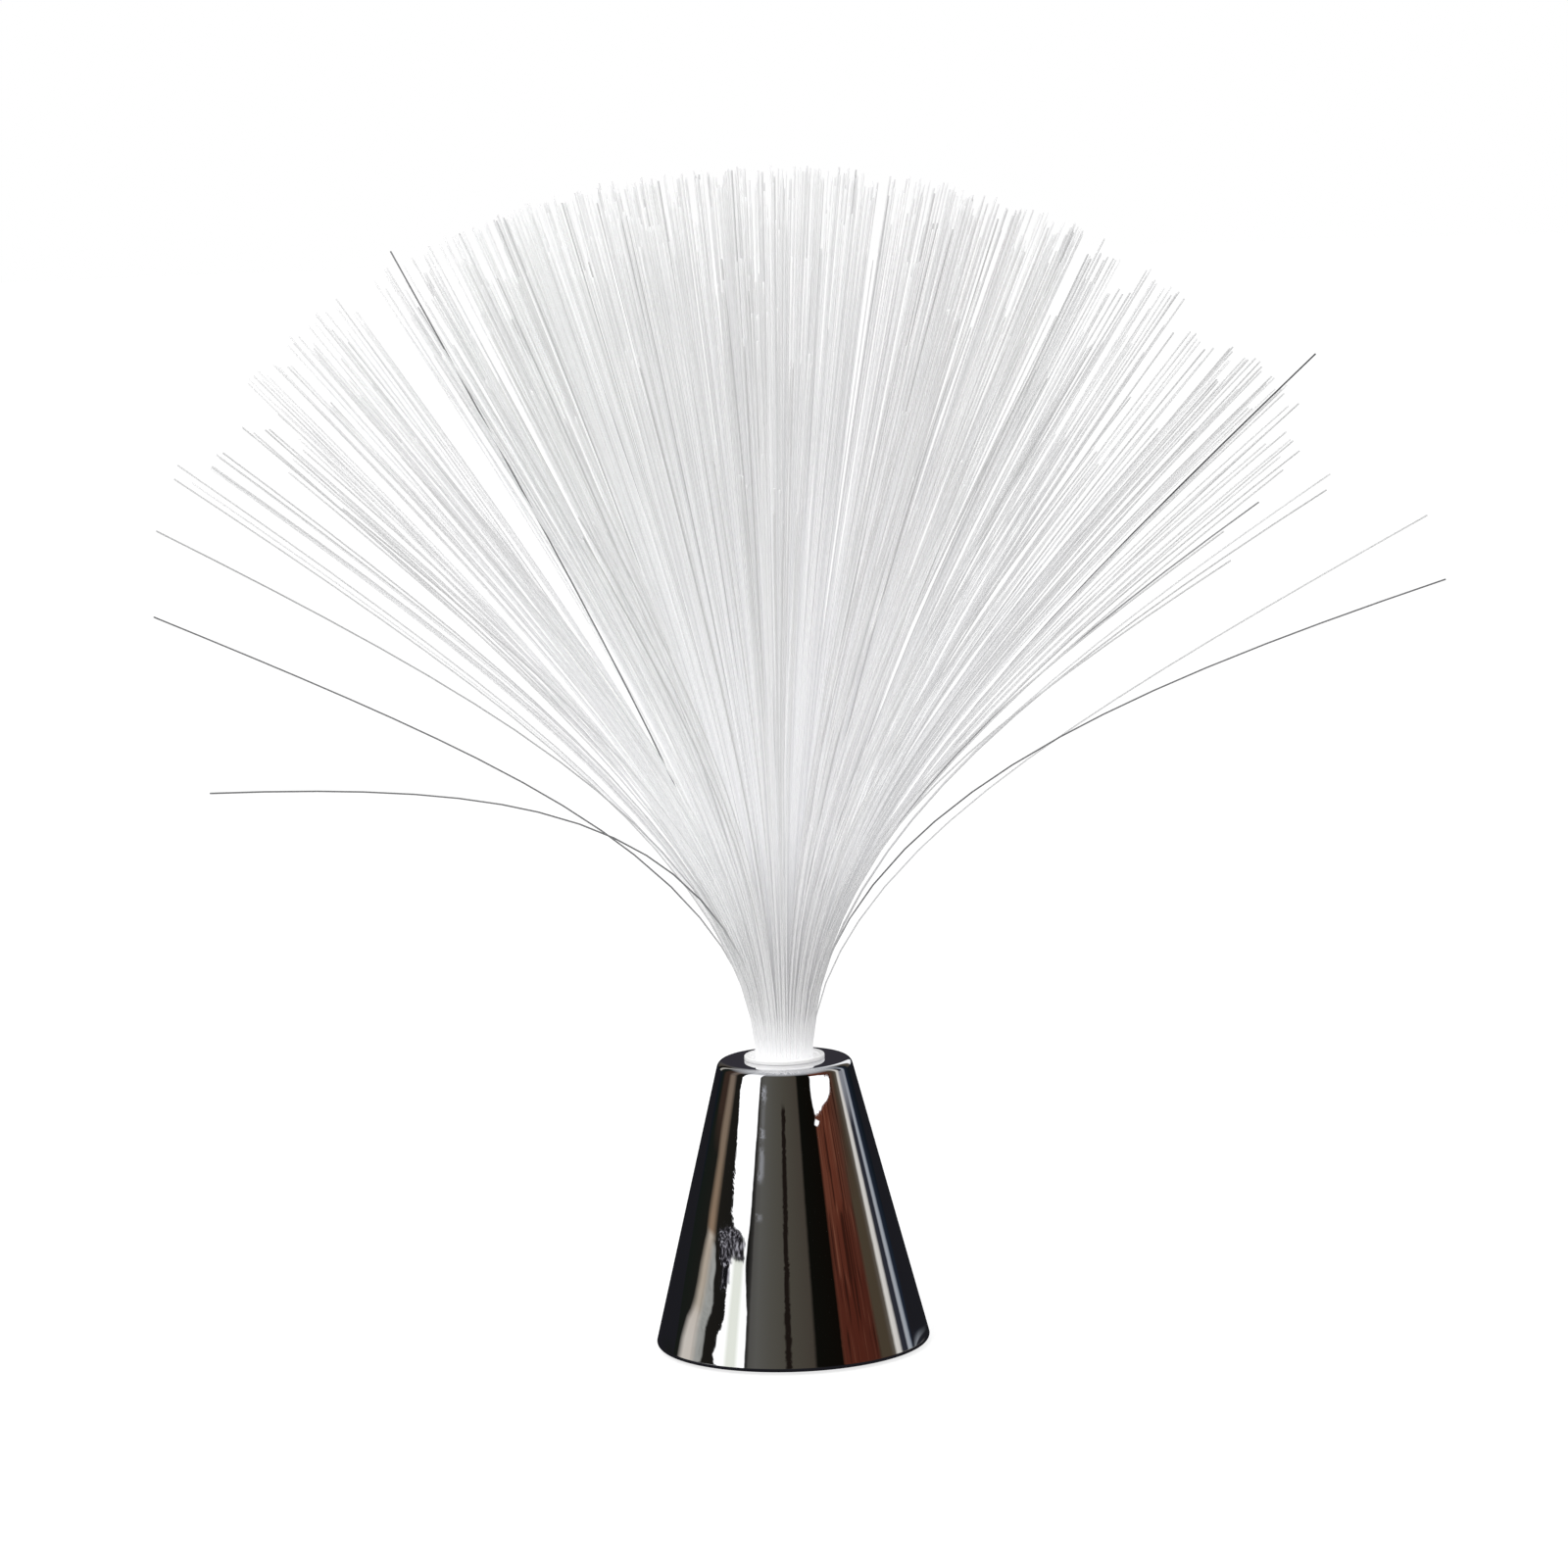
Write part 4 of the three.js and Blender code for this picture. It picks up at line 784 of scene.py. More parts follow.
def flat_map(fibres, steps, sides, run, slug_faces):
    """Places on a square for the corners of a quarter's faces: a column for each fibre, its cut end at the
    top, and the faces of the potted root one above the other in the last column."""
    columns = fibres + 1
    left = np.arange(fibres)[:, None, None, None] / columns
    side = (np.arange(sides)[:, None] + np.array([0, 1, 1, 0])) / sides
    around = (MARGIN_SHARE + (1 - 2 * MARGIN_SHARE) * side) / columns
    height = FOOT_SHARE + LENGTH_SHARE * np.stack([run[:-1], run[:-1], run[1:], run[1:]], -1)
    across = np.broadcast_to(left + around, (fibres, steps, sides, 4))
    tubes = np.stack([across, np.broadcast_to(height[:, None], across.shape)], -1).reshape(-1, 2)

    def ring(count, centre, half):
        turn = 2 * np.pi * np.arange(count) / count
        return centre + half * np.stack([np.cos(turn), np.sin(turn)], -1)

    middles = np.stack([(np.arange(fibres) + 0.5) / columns, np.full(fibres, END_SHARE)], -1)
    half = np.array([HALF_SHARE / columns, END_HALF_SHARE])
    ends = ring(sides, middles[:, None], half).reshape(-1, 2)
    rows = len(slug_faces)
    half = np.array([HALF_SHARE / columns, HALF_SHARE / rows])
    slug = [ring(len(face), np.array([1 - 0.5 / columns, (k + 0.5) / rows]), half)
            for k, face in enumerate(slug_faces)]
    return np.concatenate([tubes, ends, *slug]).ravel()


def quarter_slug(quarter, low, high, radius):
    """A quarter of the potted root of the bundle, from the plane between two quarters to the next."""
    half = QUARTER_GAP / 2
    edge = math.asin(half / radius)
    turn = quarter * math.pi / 2
    rim = arc((0, 0), radius, edge, math.pi / 2 - edge, steps=24)
    cosine, sine = math.cos(turn), math.sin(turn)
    flat = [(x * cosine - y * sine, x * sine + y * cosine) for x, y in [(half, half), *rim]]
    count = len(flat)
    places = [(*p, low) for p in flat] + [(*p, high) for p in flat]
    sides = [(k, (k + 1) % count, (k + 1) % count + count, k + count) for k in range(count)]
    return places, [tuple(reversed(range(count))), *sides, tuple(range(count, 2 * count))]


class LAMP_OT_fibres(bpy.types.Operator):
    """Make the fan of clear fibres, a quarter of the potted bundle at a time"""

    bl_idname = "lamp.fibres"
    bl_label = "Fibres"

    def execute(self, context):
        settings = context.scene.lamp_fibres
        rows = np.concatenate([fan(settings), strays(settings)])
        finish = fibre_gloss(settings)
        low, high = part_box("spray_sleeve")
        mouth = high.z - SEAT_GAP
        signs = [(1, 1), (-1, 1), (-1, -1), (1, -1)]
        for quarter, (x, y) in enumerate(signs):
            own = rows[(rows[:, 0] * x > 0) & (rows[:, 1] * y > 0)]
            if not len(own):
                raise RuntimeError("a quarter of the spray has no fibres")
            name = f"fibre_spray_{quarter + 1}"
            slug = quarter_slug(quarter, low.z, mouth, BUNDLE_RADIUS)
            mesh = fibre_mesh(name, own, settings.radius, mouth, slug)
            mesh.materials.append(finish)
            piece = bpy.data.objects.new(name, mesh)
            context.scene.collection.objects.link(piece)
            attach(piece, "spray")
            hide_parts(f"fibres_{quarter + 1}")
        return {"FINISHED"}


class LAMP_OT_bottom(bpy.types.Operator):
    """Finish the bottom plate, the feet, the battery door, the switch and their screws"""

    bl_idname = "lamp.bottom"
    bl_label = "Bottom and Screws"

    def execute(self, context):
        dress(["bottom_plate", "battery_door"], moulded("black_moulding", (0.012, 0.012, 0.013), 0.5))
        dress(["socket_nut", "controller_chip"], moulded("black_part", (0.01, 0.01, 0.011), 0.42))
        dress([f"foot_{i}" for i in range(1, 5)], moulded("foot_rubber", (0.016, 0.016, 0.017), 0.8))
        dress(["switch_body"], moulded("switch_housing", (0.045, 0.048, 0.052), 0.5))
        white = moulded("white_part", (0.78, 0.775, 0.75), 0.38)
        dress(["switch_knob", "light_tunnel"], white)
        steel = metal("zinc_plated_steel", (0.62, 0.63, 0.65), 0.32, (0.4, 0.4, 6.0))
        screws = ["door_screw", "door_screw_clip", *(f"plate_screw_{i}" for i in range(1, 4)),
                  *(f"{kind}_screw_{i}" for kind in ("tunnel", "board") for i in (1, 2))]
        dress(screws, steel)
        return {"FINISHED"}


class LAMP_OT_inside(bpy.types.Operator):
    """Finish the cells, their contacts, the circuit board and the wires"""

    bl_idname = "lamp.inside"
    bl_label = "Cells and Board"

    def execute(self, context):
        nickel = metal("nickel_plate", (0.74, 0.71, 0.66), 0.26, (6.0, 0.5, 0.5))
        dress([*(f"cell_spring_{i}" for i in range(1, 4)), "contact_negative", "contact_bridge_1",
               "contact_bridge_2", "contact_positive"], nickel)
        can, film, ring = (0.5, 0.5, 0.5), (0.03, 0.1, 0.24), (0.6, 0.42, 0.16)
        for i in range(1, 4):
            node = f"cell_{i}"
            low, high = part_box(node)
            stops = [(0.0, can), (0.03, film), (0.8, ring), (0.955, can)]
            if i == 2:  # the middle cell lies the other way round
                stops = [(0.0, can), (0.045, ring), (0.2, film), (0.97, can)]
            dress([node], ringed(f"cell_film_{i}", "X", low.x / MM, high.x / MM, stops))
        dress(["circuit_board"], board_green())
        for name, color in (("led_red", (0.75, 0.03, 0.02)), ("led_green", (0.05, 0.5, 0.08)),
                            ("led_blue", (0.03, 0.12, 0.65))):
            dress([name], tinted_lens(name, color))
        tan, tinned = (0.6, 0.42, 0.24), (0.6, 0.6, 0.6)
        brown, black, red = (0.25, 0.08, 0.03), (0.02, 0.02, 0.02), (0.5, 0.03, 0.02)
        stops = [(0.0, tinned), (0.22, tan), (0.32, brown), (0.38, tan), (0.46, black), (0.52, tan),
                 (0.6, red), (0.66, tan), (0.78, tinned)]
        low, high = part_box("resistor_1")
        banded = ringed("resistor_bands", "Y", low.y / MM, high.y / MM, stops)
        dress([f"resistor_{i}" for i in range(1, 4)], banded)
        vinyl = moulded("red_vinyl", (0.42, 0.02, 0.015), 0.35)
        dress(["wire_cell_to_switch", "wire_switch_to_board"], vinyl)
        dress(["wire_cell_to_board"], moulded("black_vinyl", (0.012, 0.012, 0.013), 0.35))
        return {"FINISHED"}


# What the chrome mirrors in front of the lamp, by azimuth in degrees, positive to the camera's right: dark
# walls with a brown one between them, red-brown wood and two pale edges. Places, here and below, were read
# off the cone in the photograph and turned into directions with the fitted camera. Tints follow its colours
ROOM = [
    (-128, (0.008, 0.011, 0.009)),
    (-109, (0.010, 0.011, 0.009)),
    (-90, (0.012, 0.011, 0.009)),
    (-45, (0.008, 0.008, 0.007)),
    (-41, (0.030, 0.029, 0.027)),
    (-39, (0.080, 0.078, 0.072)),
    (-33, (0.095, 0.093, 0.084)),
    (-20, (0.080, 0.076, 0.064)),
    (-2, (0.066, 0.060, 0.047)),
    (17, (0.056, 0.047, 0.037)),
    (20, (0.004, 0.004, 0.003)),
    (42, (0.004, 0.003, 0.002)),
    (45, (0.120, 0.038, 0.022)),
    (60, (0.110, 0.030, 0.017)),
    (76, (0.080, 0.030, 0.019)),
    (88, (0.056, 0.041, 0.028)),
    (94, (0.100, 0.086, 0.070)),
    (97, (0.660, 0.640, 0.600)),
    (101, (0.600, 0.580, 0.550)),
    (104, (0.028, 0.030, 0.038)),
    (110, (0.020, 0.022, 0.032)),
    (112.5, (0.380, 0.400, 0.430)),
    (116, (0.300, 0.330, 0.370)),
    (119, (0.014, 0.020, 0.034)),
    (128, (0.007, 0.010, 0.014)),
]

# Courses of what isn't upright in the room, as pairs of level and azimuth in degrees
WINDOW_LEFT = [(-2.1, -68), (-1.79, -71), (-1.69, -73), (-1.53, -67), (-1.35, -65), (-0.86, -66),
               (-0.72, -64), (-0.68, -49), (-0.58, -52), (-0.47, -57), (-0.4, -64), (-0.29, -67),
               (-0.1, -70), (0.3, -71), (0.78, -76), (1.02, -78), (1.3, -74)]
WINDOW_RIGHT = [(-2.1, -42.5), (-1.3, -43), (-0.97, -45), (-0.7, -47.5), (-0.5, -46), (0.0, -45), (0.9, -43),
                (1.4, -42)]
BROKEN_LEFT = [(-0.95, -72), (-0.85, -76), (-0.69, -82), (-0.5, -82), (-0.42, -74)]
BROKEN_RIGHT = [(-0.95, -67), (-0.75, -64), (-0.7, -50), (-0.66, -50), (-0.58, -53), (-0.47, -58),
                (-0.38, -66)]
POST_LEFT = [(-2.1, -111.5), (-1.77, -108), (-1.57, -104.5), (-1.36, -102), (-1.1, -101), (-0.75, -98.5),
             (-0.5, -101), (0.1, -101.5), (0.3, -103.5), (1.3, -103.5)]
POST_RIGHT = [(-2.1, -95.5), (-1.6, -93.5), (-0.95, -90.5), (-0.75, -89), (-0.3, -90.5), (1.3, -90.5)]
PANE_LEFT = [(-2.1, -98), (-1.5, -94), (-0.8, -93)]
PANE_RIGHT = [(-2.1, -87.5), (-1.77, -85), (-1.57, -83.5), (-1.36, -80.5), (-1.16, -79.5), (-0.95, -81.5),
              (-0.8, -86.5)]
GLARE_LEFT = [(0.95, 45), (1.03, 42), (1.4, 41)]
GLARE_RIGHT = [(0.95, 46), (0.97, 47), (1.04, 58), (1.07, 74), (1.11, 78), (1.17, 76), (1.24, 64), (1.4, 60)]
SPARK_LEFT = [(0.65, 45), (0.72, 41), (0.87, 43)]
SPARK_RIGHT = [(0.65, 45), (0.72, 48), (0.79, 49), (0.87, 44)]
# How strongly the painted sheen of smudges shows in the chrome, by level
SMUDGE_SHEEN_BY_LEVEL = [(-0.3, 0.0), (-0.2, 0.35), (-0.12, 0.35), (-0.05, 0.0), (0.2, 0.0), (0.28, 0.5), (0.36, 0.4),
           (0.44, 0.05), (0.55, 0.2), (0.62, 0.75), (0.7, 0.75), (0.78, 0.1), (0.88, 0.2), (0.96, 0.8),
           (1.08, 0.8), (1.2, 0.0)]

# Levels past all that the cone mirrors in front of the lamp
LOWEST, HIGHEST = -60, 60

# Upright stretches with a tint of their own: azimuth from and to with the softness of those edges, level from
# and to with the softness of those, tint and strength
PATCHES = {
    "left_glow": (-120, -101, 3, 0.2, HIGHEST, 0.2, (0.050, 0.028, 0.020), 0.7),
    "low_wood": (44, 84, 2, LOWEST, -0.4, 0.5, (0.062, 0.013, 0.008), 0.75),
    "end_of_wood": (78, 90, 2, LOWEST, 0.1, 0.3, (0.062, 0.047, 0.030), 1.0),
    "doorpost": (-7.2, -2.0, 0.8, LOWEST, 0.95, 0.04, (0.008, 0.005, 0.004), 0.95),
    "right_glow": (101, 117, 2, 0.55, 3, 0.25, (0.270, 0.280, 0.310), 0.8),
}

# Bands of azimuth or level, each from, to and softness of the edges, with the tints of what lies in them
PANE_LEVELS, PANE_TINT = (LOWEST, -0.84, 0.05), (0.340, 0.345, 0.325)
PANE_STRENGTH, PANE_MOTTLE = 0.92, 0.7
WINDOW_LIGHT, WINDOW_FOOT = (1.3, 1.3, 1.3), (0.80, 0.83, 0.75)
FOOT_BAND, FOOT_LEVELS = (-62, -49, 3), (LOWEST, -0.6, 0.1)
FRINGE, FRINGE_MORE, FRINGE_LEVELS = 3, 9, (-0.45, 0.35, 0.15)  # degrees, and how many more at mid height
BROKEN_LEVELS = (-0.92, -0.42, 0.03)
WOOD_BAND, WOOD_GRAIN, WOOD_SHEEN = (44, 84, 2), (0.026, 0.008, 0.005), (0.190, 0.075, 0.045)
GRAIN_FROM, SHEEN_TO, GRAIN_SHARPNESS = 0.53, 0.43, 10  # limits of the noise
GRAIN_STRENGTH, SHEEN_STRENGTH = 0.85, 0.6
# Painted reflection: band and tint of the pale patches in the mirrored room that stand for smudges on the
# chrome
SMUDGE_SHEEN_BAND, SMUDGE_SHEEN = (-38, -31.5, 1.5), (0.38, 0.39, 0.42)
SMUDGE_SHEEN_STRENGTH, SMUDGE_SHEEN_MOTTLE = 0.8, 3
GLARE_LEVELS, GLARE = (0.95, 3, 0.02), (1.3, 1.3, 1.3)
SPARK_LEVELS, SPARK = (0.66, 0.86, 0.02), (1.1, 1.1, 1.1)

# Tint, height in degrees and fade of the ceiling, and of the dark that lies low behind the lamp
CEILING, CEILING_START, CEILING_FADE = (0.42, 0.43, 0.45), 32, 24
HORIZON, HORIZON_START, HORIZON_FADE = (0.007, 0.010, 0.014), 2.5, 3
# Colour of the floor as the chrome mirrors it close to the lamp, a painted shade, and behind the lamp
DARK_FLOOR = (0.012, 0.012, 0.015)

# Degrees by which coarse noise sways the edges, and fine noise frays them
PANE_SWAY, POST_SWAY, DOORPOST_SWAY, GLARE_SWAY, SPARK_SWAY, BEHIND_SWAY = 3, 1, 5, 5, 3, 1.5
BROKEN_FRAY, BROKEN_LEVEL_FRAY, SMUDGE_SHEEN_FRAY, GLARE_FRAY = 16, 0.3, 12, 14

# Tones of the pale post on the left by level, and of the speckled patch by its noise
POST_TONES = [(-2.1, (0.58, 0.54, 0.49)), (-1.556, (0.54, 0.49, 0.43)), (-1.352, (0.45, 0.40, 0.33)),
              (-0.944, (0.42, 0.36, 0.29)), (-0.74, (0.48, 0.42, 0.35)), (-0.604, (0.26, 0.18, 0.12)),
              (-0.094, (0.22, 0.16, 0.11)), (0.96, (0.19, 0.145, 0.11)), (1.3, (0.14, 0.11, 0.09))]
SPECKLES = [(0.46, (0.006, 0.006, 0.007)), (0.53, (0.05, 0.047, 0.055)), (0.6, (0.26, 0.25, 0.28)),
            (0.68, (0.46, 0.46, 0.5))]

# What it mirrors behind the lamp, by azimuth from straight behind, above eye level
ROOM_BEHIND = [
    (-52, (0.007, 0.010, 0.014)),
    (-46, (0.060, 0.052, 0.042)),
    (-35, (0.095, 0.082, 0.066)),
    (-32, (0.900, 0.910, 0.930)),
    (-18, (0.900, 0.910, 0.930)),
    (-16, (0.020, 0.020, 0.024)),
    (-8, (0.032, 0.030, 0.038)),
    (10, (0.034, 0.032, 0.039)),
    (16, (0.070, 0.066, 0.062)),
    (26, (0.060, 0.050, 0.040)),
    (28, (0.006, 0.006, 0.005)),
    (36, (0.006, 0.006, 0.005)),
    (38, (0.420, 0.400, 0.360)),
    (43, (0.380, 0.360, 0.330)),
    (46, (0.010, 0.012, 0.011)),
    (52, (0.008, 0.011, 0.009)),
]
BEHIND = 128  # azimuth at which the room behind the lamp begins

# The arch along which the camera sees the room in the cone: the sine of its height is a share of the cosine
# of half the azimuth, less a drop
ARCH_SHARE, ARCH_DROP = 0.4585, 0.191

# Where the mirrored floor's painted reflection of the room begins round the lamp, in millimetres from its
# axis, the azimuth at which it ends on either side, and its stretch of window
FLOOR_START, FLOOR_FADE = 50, 60
FLOOR_END, FLOOR_END_FADE = BEHIND - 15, 8
FLOOR_WINDOW, FLOOR_WINDOW_LIGHT = (-70, -44, 0.7), (0.9, 0.9, 0.9)

# Sizes of the floor in metres, how bright the white is that it shows the camera, and what share that has
FLOOR_RADIUS, FLOOR_THICKNESS, FLOOR_HOLE, FLOOR_SIDES = 6.0, 0.01, 0.0001, 96
GLEAM, GLEAM_SHARE = 1.3, 0.6
LAMP_SIZE, LAMP_PLACE, LAMP_AIM = 1.4, Vector((-0.9, -1.3, 1.9)), Vector((0.0, 0.0, 0.18))
CAMERA_SIDE = 2.26 * MM  # how far the camera stands to the right of the lamp's axis
FAR_CLIP = 50


class Room(Graph):
    """The world's nodes. A direction has an azimuth and a level, in degrees. The level counts from the arch
    along which the camera sees the room in the cone."""

    def __init__(self, world):
        super().__init__(world)
        toward = self.node("ShaderNodeTexCoord", {}, {}, "Generated")
        x, y, z = (self.axis(toward, name) for name in "XYZ")
        self.azimuth = self.azimuth_of(x, y)
        self.height = z.apply("ARCSINE") / DEGREE
        arch = (self.azimuth * (DEGREE / 2)).apply("COSINE") * ARCH_SHARE - ARCH_DROP
        self.level = self.height - arch.apply("ARCSINE") / DEGREE
        self.ragged = self.speckle(across=0.12, up=11) - 0.5
        self.fine = self.speckle(across=0.25, up=30, detail=1.5) - 0.5
        self.shifted = self.azimuth + self.ragged

    def speckle(self, across, up, detail=3.0):
        """Noise with so many grains to a degree of azimuth and of level."""
        inputs = {"X": self.azimuth * across, "Y": self.level * up, "Z": 0.0}
        where = self.node("ShaderNodeCombineXYZ", {}, inputs)
        return self.noise(where, scale=1.0, detail=detail, roughness=0.65)

    def tinted(self, color, mask, tint):
        return self.mix(mask.clamp(), color, rgba(tint))

    def patch(self, color, name, azimuth):
        """Paints a stretch of its own tint over the colour."""
        left, right, edge, low, high, fade, tint, strength = PATCHES[name]
        mask = self.band(azimuth, left, right, edge) * self.band(self.level, low, high, fade)
        return self.tinted(color, mask * strength, tint)

    def along(self, points):
        return self.course(self.level, points)

    def between(self, left, right, soft, sway=0, fray=0):
        """1 between two courses, with swaying or frayed edges."""
        azimuth = self.azimuth
        for noise, degrees in ((self.ragged, sway), (self.fine, fray)):
            if degrees:
                azimuth = azimuth + degrees * noise
        return self.band(azimuth, self.along(left), self.along(right), soft)

    def colors(self):
        """Colour of the room by direction, painted from the walls forward."""
        color = self.ramp_along(self.shifted, ROOM)
        layers = (self.post, self.window, self.wood, self.doorpost, self.smudges, self.glare, self.behind)
        for paint in layers:
            color = paint(color)
        overhead = ((self.height - CEILING_START) / CEILING_FADE).clamp()
        return self.mix(overhead, color, rgba(CEILING))

    def post(self, walls):
        """A glow high up on the left, and a pale post with a pane beside its foot."""
        walls = self.patch(walls, "left_glow", self.shifted)
        pane = self.between(PANE_LEFT, PANE_RIGHT, soft=1.2, sway=PANE_SWAY)
        pane = pane * self.band(self.level, *PANE_LEVELS)
        walls = self.tinted(walls, pane * (PANE_STRENGTH + PANE_MOTTLE * self.ragged), PANE_TINT)
        post = self.between(POST_LEFT, POST_RIGHT, soft=3.5, sway=POST_SWAY)
        return self.mix(post.clamp(), walls, self.ramp_along(self.level, POST_TONES))

    def window(self, walls):
        """The bright window, frayed on its left and duller at its foot, and a speckled break in its edge."""
        fringe = (FRINGE + FRINGE_MORE * self.band(self.level, *FRINGE_LEVELS)) * self.fine
        left, right = self.along(WINDOW_LEFT) + fringe, self.along(WINDOW_RIGHT) + self.ragged
        window = self.band(self.azimuth, left, right, soft=0.7)
        foot = self.band(self.azimuth, *FOOT_BAND) * self.band(self.level, *FOOT_LEVELS)
        bright = self.mix(foot.clamp(), rgba(WINDOW_LIGHT), rgba(WINDOW_FOOT))
        walls = self.mix(window.clamp(), walls, bright)
        broken = self.between(BROKEN_LEFT, BROKEN_RIGHT, soft=1.5, fray=BROKEN_FRAY)
        broken = broken * self.band(self.level + BROKEN_LEVEL_FRAY * self.fine, *BROKEN_LEVELS)
        speckled = self.ramp(self.speckle(across=0.3, up=30, detail=1.0), SPECKLES)
        return self.mix(broken.clamp(), walls, speckled)

    def wood(self, walls):
        """Red-brown wood with upright grain, darker low down, and the dull wall where it ends."""
        walls = self.patch(walls, "low_wood", self.shifted)
        wood = self.band(self.shifted, *WOOD_BAND)
        streaks = self.speckle(across=0.34, up=0.7, detail=2.0)
        grain = ((streaks - GRAIN_FROM) * GRAIN_SHARPNESS).clamp()
        sheen = ((SHEEN_TO - streaks) * GRAIN_SHARPNESS).clamp()
        walls = self.tinted(walls, wood * grain * GRAIN_STRENGTH, WOOD_GRAIN)
        walls = self.tinted(walls, wood * sheen * SHEEN_STRENGTH, WOOD_SHEEN)
        return self.patch(walls, "end_of_wood", self.shifted)

    def doorpost(self, walls):
        return self.patch(walls, "doorpost", self.shifted + self.ragged * DOORPOST_SWAY)

    def smudges(self, walls):
        """Pale patches painted into the room beside the window, which the chrome mirrors: a painted
        reflection that stands for the haze of faint marks on the chrome.
        """
        marks = self.band(self.azimuth + SMUDGE_SHEEN_FRAY * self.fine, *SMUDGE_SHEEN_BAND) * self.along(SMUDGE_SHEEN_BY_LEVEL)
        mottle = SMUDGE_SHEEN_STRENGTH + SMUDGE_SHEEN_MOTTLE * self.ragged + SMUDGE_SHEEN_MOTTLE * self.fine
        return self.tinted(walls, marks * mottle, SMUDGE_SHEEN)

    def glare(self, walls):
        """Two bright spots below the top on the right, and the glow beyond them."""
        left, right = self.along(GLARE_LEFT), self.along(GLARE_RIGHT) + GLARE_FRAY * self.fine
        glare = self.band(self.azimuth + GLARE_SWAY * self.ragged, left, right, soft=0.8)
        walls = self.tinted(walls, glare * self.band(self.level, *GLARE_LEVELS), GLARE)
        spark = self.between(SPARK_LEFT, SPARK_RIGHT, soft=0.8, sway=SPARK_SWAY)
        walls = self.tinted(walls, spark * self.band(self.level, *SPARK_LEVELS), SPARK)
        return self.patch(walls, "right_glow", self.azimuth)

    def behind(self, walls):
        """The room behind the lamp, which the cone's sides mirror at a glance."""
        turn = (self.azimuth + 360).apply("MODULO", 360) - 180
        span = 180 - BEHIND
        far = self.ramp_along(turn + self.ragged * BEHIND_SWAY, ROOM_BEHIND)
        far = self.mix(((self.height - HORIZON_START) / HORIZON_FADE).clamp(), rgba(HORIZON), far)
        return self.mix(self.band(turn, -span, span, soft=0.5), walls, far)


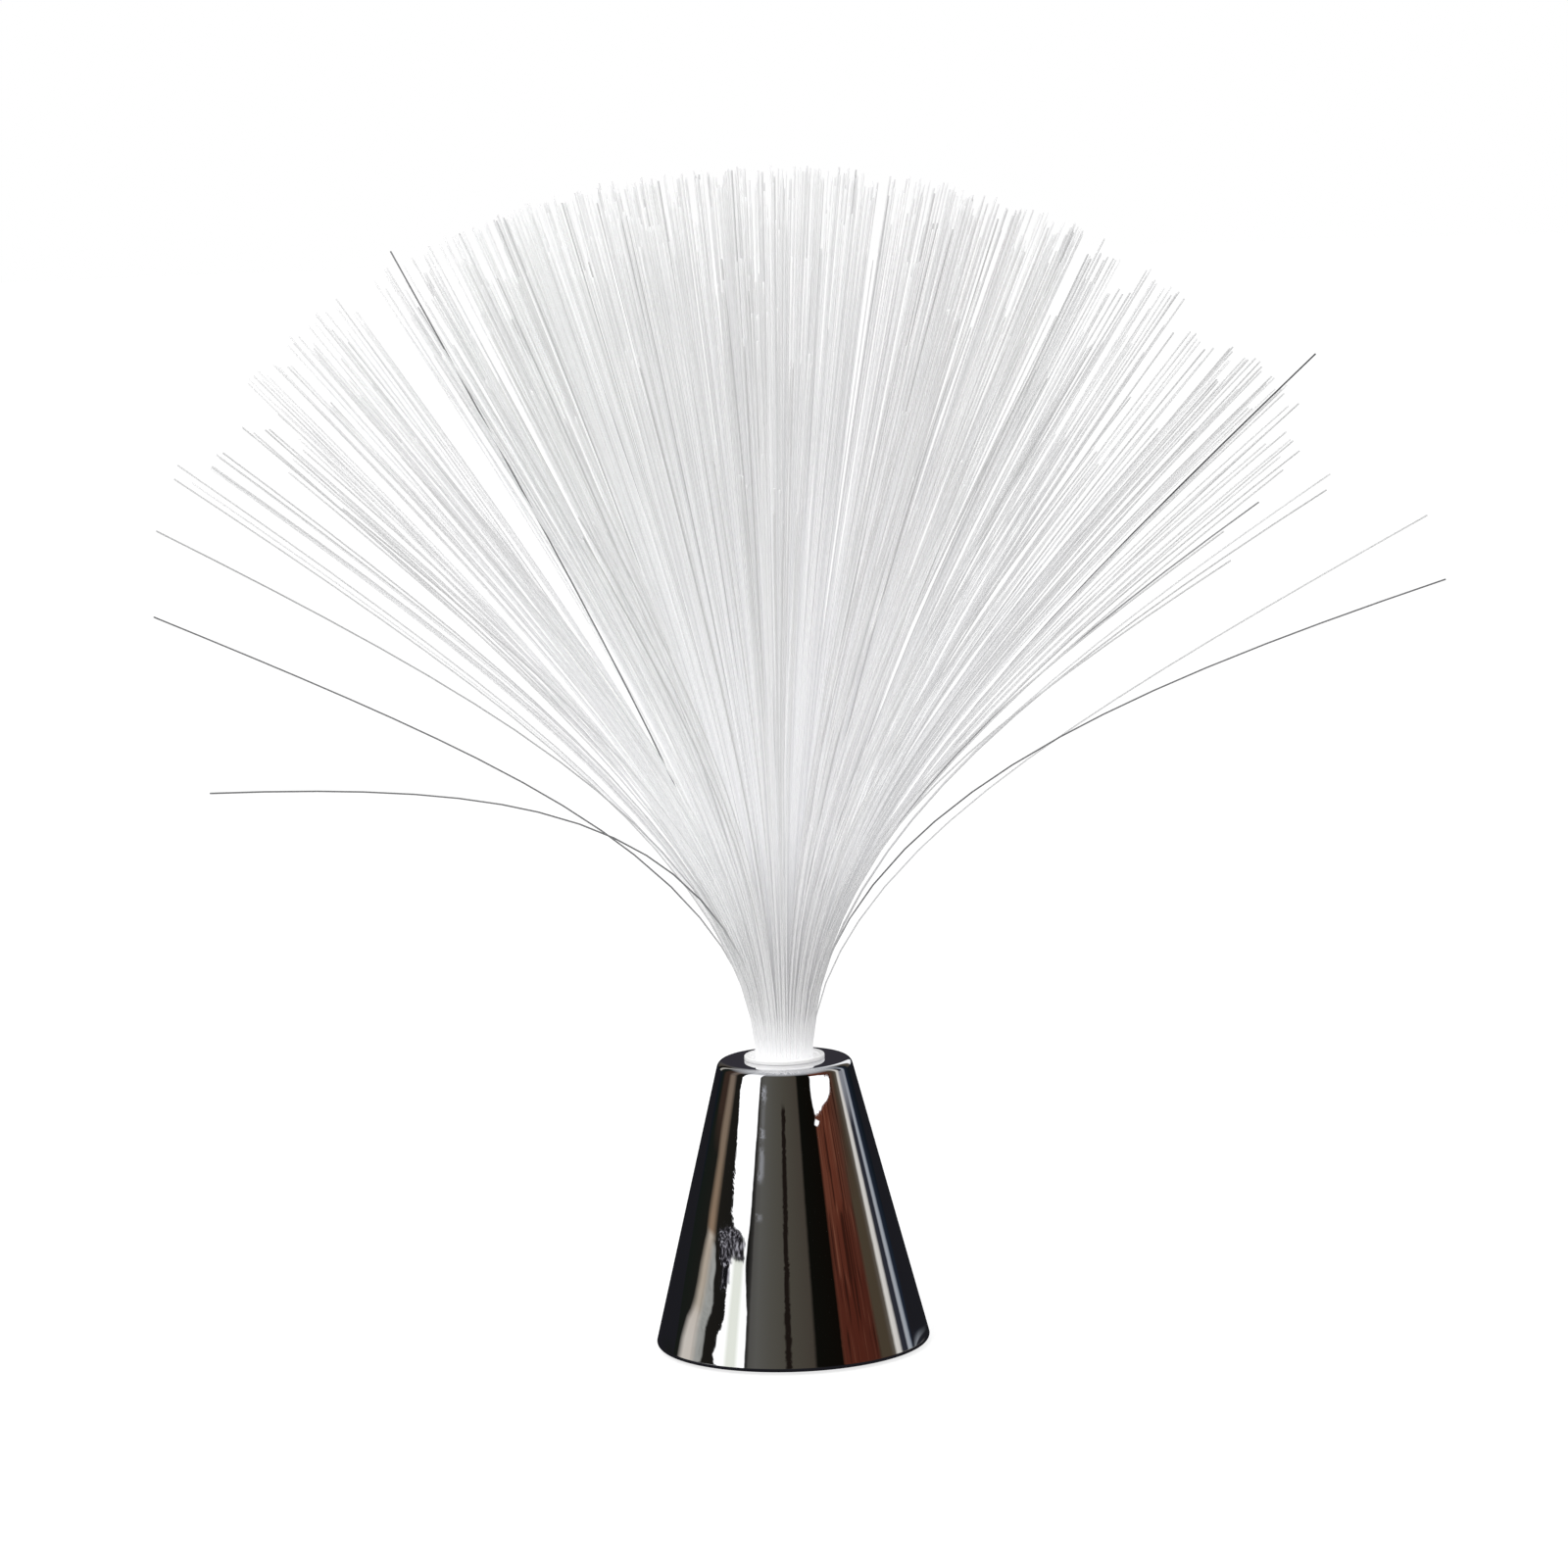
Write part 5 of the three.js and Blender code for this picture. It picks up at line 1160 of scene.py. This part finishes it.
class LAMP_OT_stage(bpy.types.Operator):
    """Make the pale floor, the light, the room that the chrome mirrors and the camera"""

    bl_idname = "lamp.stage"
    bl_label = "Stage"

    def execute(self, context):
        settings = context.scene.lamp_stage
        context.scene.view_settings.view_transform = "Standard"
        self.world(context, settings)
        self.floor(context)
        self.lamp(context, settings)
        self.camera(context, settings)
        return {"FINISHED"}

    @staticmethod
    def world(context, settings):
        world = bpy.data.worlds.new("studio")
        context.scene.world = world
        room = Room(world)
        seen = room.ray("Is Camera Ray").apply("MAXIMUM", room.ray("Is Transmission Ray"))
        backgrounds = ((rgba(WHITE), settings.ambient), (room.colors(), 1.0), (rgba(WHITE), 1.0))
        plain, mirrored, white = (
            room.node("ShaderNodeBackground", {}, {"Color": color, "Strength": strength})
            for color, strength in backgrounds)
        unseen = room.mix_shaders(room.ray("Is Glossy Ray"), plain, mirrored)
        room.node("ShaderNodeOutputWorld", {}, {"Surface": room.mix_shaders(seen, unseen, white)})

    @staticmethod
    def mirrored_floor(graph):
        """The floor as the chrome mirrors it, painted into its colour: dark at the lamp, a painted shade, and
        behind it, and in front the room once more, a painted reflection.
        """
        where = graph.places()
        x, y = graph.axis(where, "X"), graph.axis(where, "Y")
        azimuth = graph.azimuth_of(x, y)
        away = (x * x + y * y).apply("SQRT")
        front = graph.ramp_along(azimuth, ROOM)
        front = graph.mix(graph.band(azimuth, *FLOOR_WINDOW), front, rgba(FLOOR_WINDOW_LIGHT))
        shown = graph.band(azimuth, -FLOOR_END, FLOOR_END, FLOOR_END_FADE)
        shown = shown * ((away - FLOOR_START) / FLOOR_FADE).clamp()
        return graph.mix(shown, rgba(DARK_FLOOR), front)

    def floor(self, context):
        mesh = bpy.data.meshes.new("floor")
        places, faces = turned([(FLOOR_HOLE, 0.0), (FLOOR_RADIUS, 0.0), (FLOOR_RADIUS, -FLOOR_THICKNESS),
                                (FLOOR_HOLE, -FLOOR_THICKNESS)], FLOOR_SIDES)
        mesh.from_pydata(places, [], faces)
        made, graph = material("white_floor")
        matt = graph.node("ShaderNodeBsdfDiffuse", {}, {"Color": rgba((0.9, 0.9, 0.9))})
        white = graph.node("ShaderNodeEmission", {}, {"Color": rgba(WHITE), "Strength": GLEAM})
        # Painted reflection: glossy rays see the room and its window emitted from the floor
        painted_reflection = graph.node("ShaderNodeBsdfPrincipled", {}, {
            "Base Color": rgba(BLACK), "Specular IOR Level": 0.0, "Roughness": 1.0,
            "Emission Color": self.mirrored_floor(graph), "Emission Strength": 1.0})
        shown = graph.mix_shaders(graph.ray("Is Camera Ray") * GLEAM_SHARE, matt, white)
        surface = graph.mix_shaders(graph.ray("Is Glossy Ray"), shown, painted_reflection)
        graph.node("ShaderNodeOutputMaterial", {}, {"Surface": surface})
        mesh.materials.append(made)
        floor = bpy.data.objects.new("floor", mesh)
        context.scene.collection.objects.link(floor)

    @staticmethod
    def lamp(context, settings):
        light = bpy.data.lights.new("large_lamp", "AREA")
        light.shape = "DISK"
        light.size = LAMP_SIZE
        light.energy = settings.key
        lamp = bpy.data.objects.new("large_lamp", light)
        lamp.location = LAMP_PLACE
        lamp.rotation_euler = (LAMP_AIM - LAMP_PLACE).to_track_quat("-Z", "Y").to_euler()
        lamp.visible_glossy = False
        context.scene.collection.objects.link(lamp)

    @staticmethod
    def camera(context, settings):
        lens = bpy.data.cameras.new("camera")
        lens.sensor_width = SENSOR
        lens.lens = settings.focal
        lens.clip_end = FAR_CLIP
        camera = bpy.data.objects.new("camera", lens)
        pitch, roll = settings.pitch, settings.roll
        right, up = Vector((1, 0, 0)), Vector((0, math.sin(pitch), math.cos(pitch)))
        back = Vector((0, -math.cos(pitch), math.sin(pitch)))
        rolled_right = math.cos(roll) * right - math.sin(roll) * up
        rolled_up = math.sin(roll) * right + math.cos(roll) * up
        turn = Matrix((rolled_right, rolled_up, back)).transposed().to_4x4()
        place = Matrix.Translation((CAMERA_SIDE, -settings.distance, settings.height))
        camera.matrix_world = place @ turn
        context.scene.collection.objects.link(camera)
        context.scene.camera = camera


class LAMP_PT_panel(bpy.types.Panel):
    """Lists the steps that dress the lamp"""

    bl_idname = "LAMP_PT_panel"
    bl_label = "Lamp"
    bl_space_type = "VIEW_3D"
    bl_region_type = "UI"
    bl_category = "Lamp"

    def draw(self, context):
        for operator in STEPS:
            self.layout.operator(operator.bl_idname)
        for group in GROUPS:
            settings = getattr(context.scene, group)
            box = self.layout.box()
            for name in settings.__annotations__:
                box.prop(settings, name)


STEPS = [LAMP_OT_stage, LAMP_OT_cone, LAMP_OT_socket, LAMP_OT_fibres, LAMP_OT_bottom, LAMP_OT_inside]
GROUPS = {
    "lamp_cone": ConeSettings,
    "lamp_socket": SocketSettings,
    "lamp_fibres": FibreSettings,
    "lamp_stage": StageSettings,
}


def register():
    for made in (*GROUPS.values(), *STEPS, LAMP_PT_panel):
        bpy.utils.register_class(made)
    for name, group in GROUPS.items():
        setattr(bpy.types.Scene, name, PointerProperty(type=group))


def unregister():
    for name in GROUPS:
        delattr(bpy.types.Scene, name)
    for made in reversed((*GROUPS.values(), *STEPS, LAMP_PT_panel)):
        bpy.utils.unregister_class(made)


def main():
    register()
    bpy.ops.lamp.stage()
    bpy.ops.lamp.cone()
    bpy.ops.lamp.socket()
    bpy.ops.lamp.fibres()
    bpy.ops.lamp.bottom()
    bpy.ops.lamp.inside()


if __name__ == "__main__":
    main()
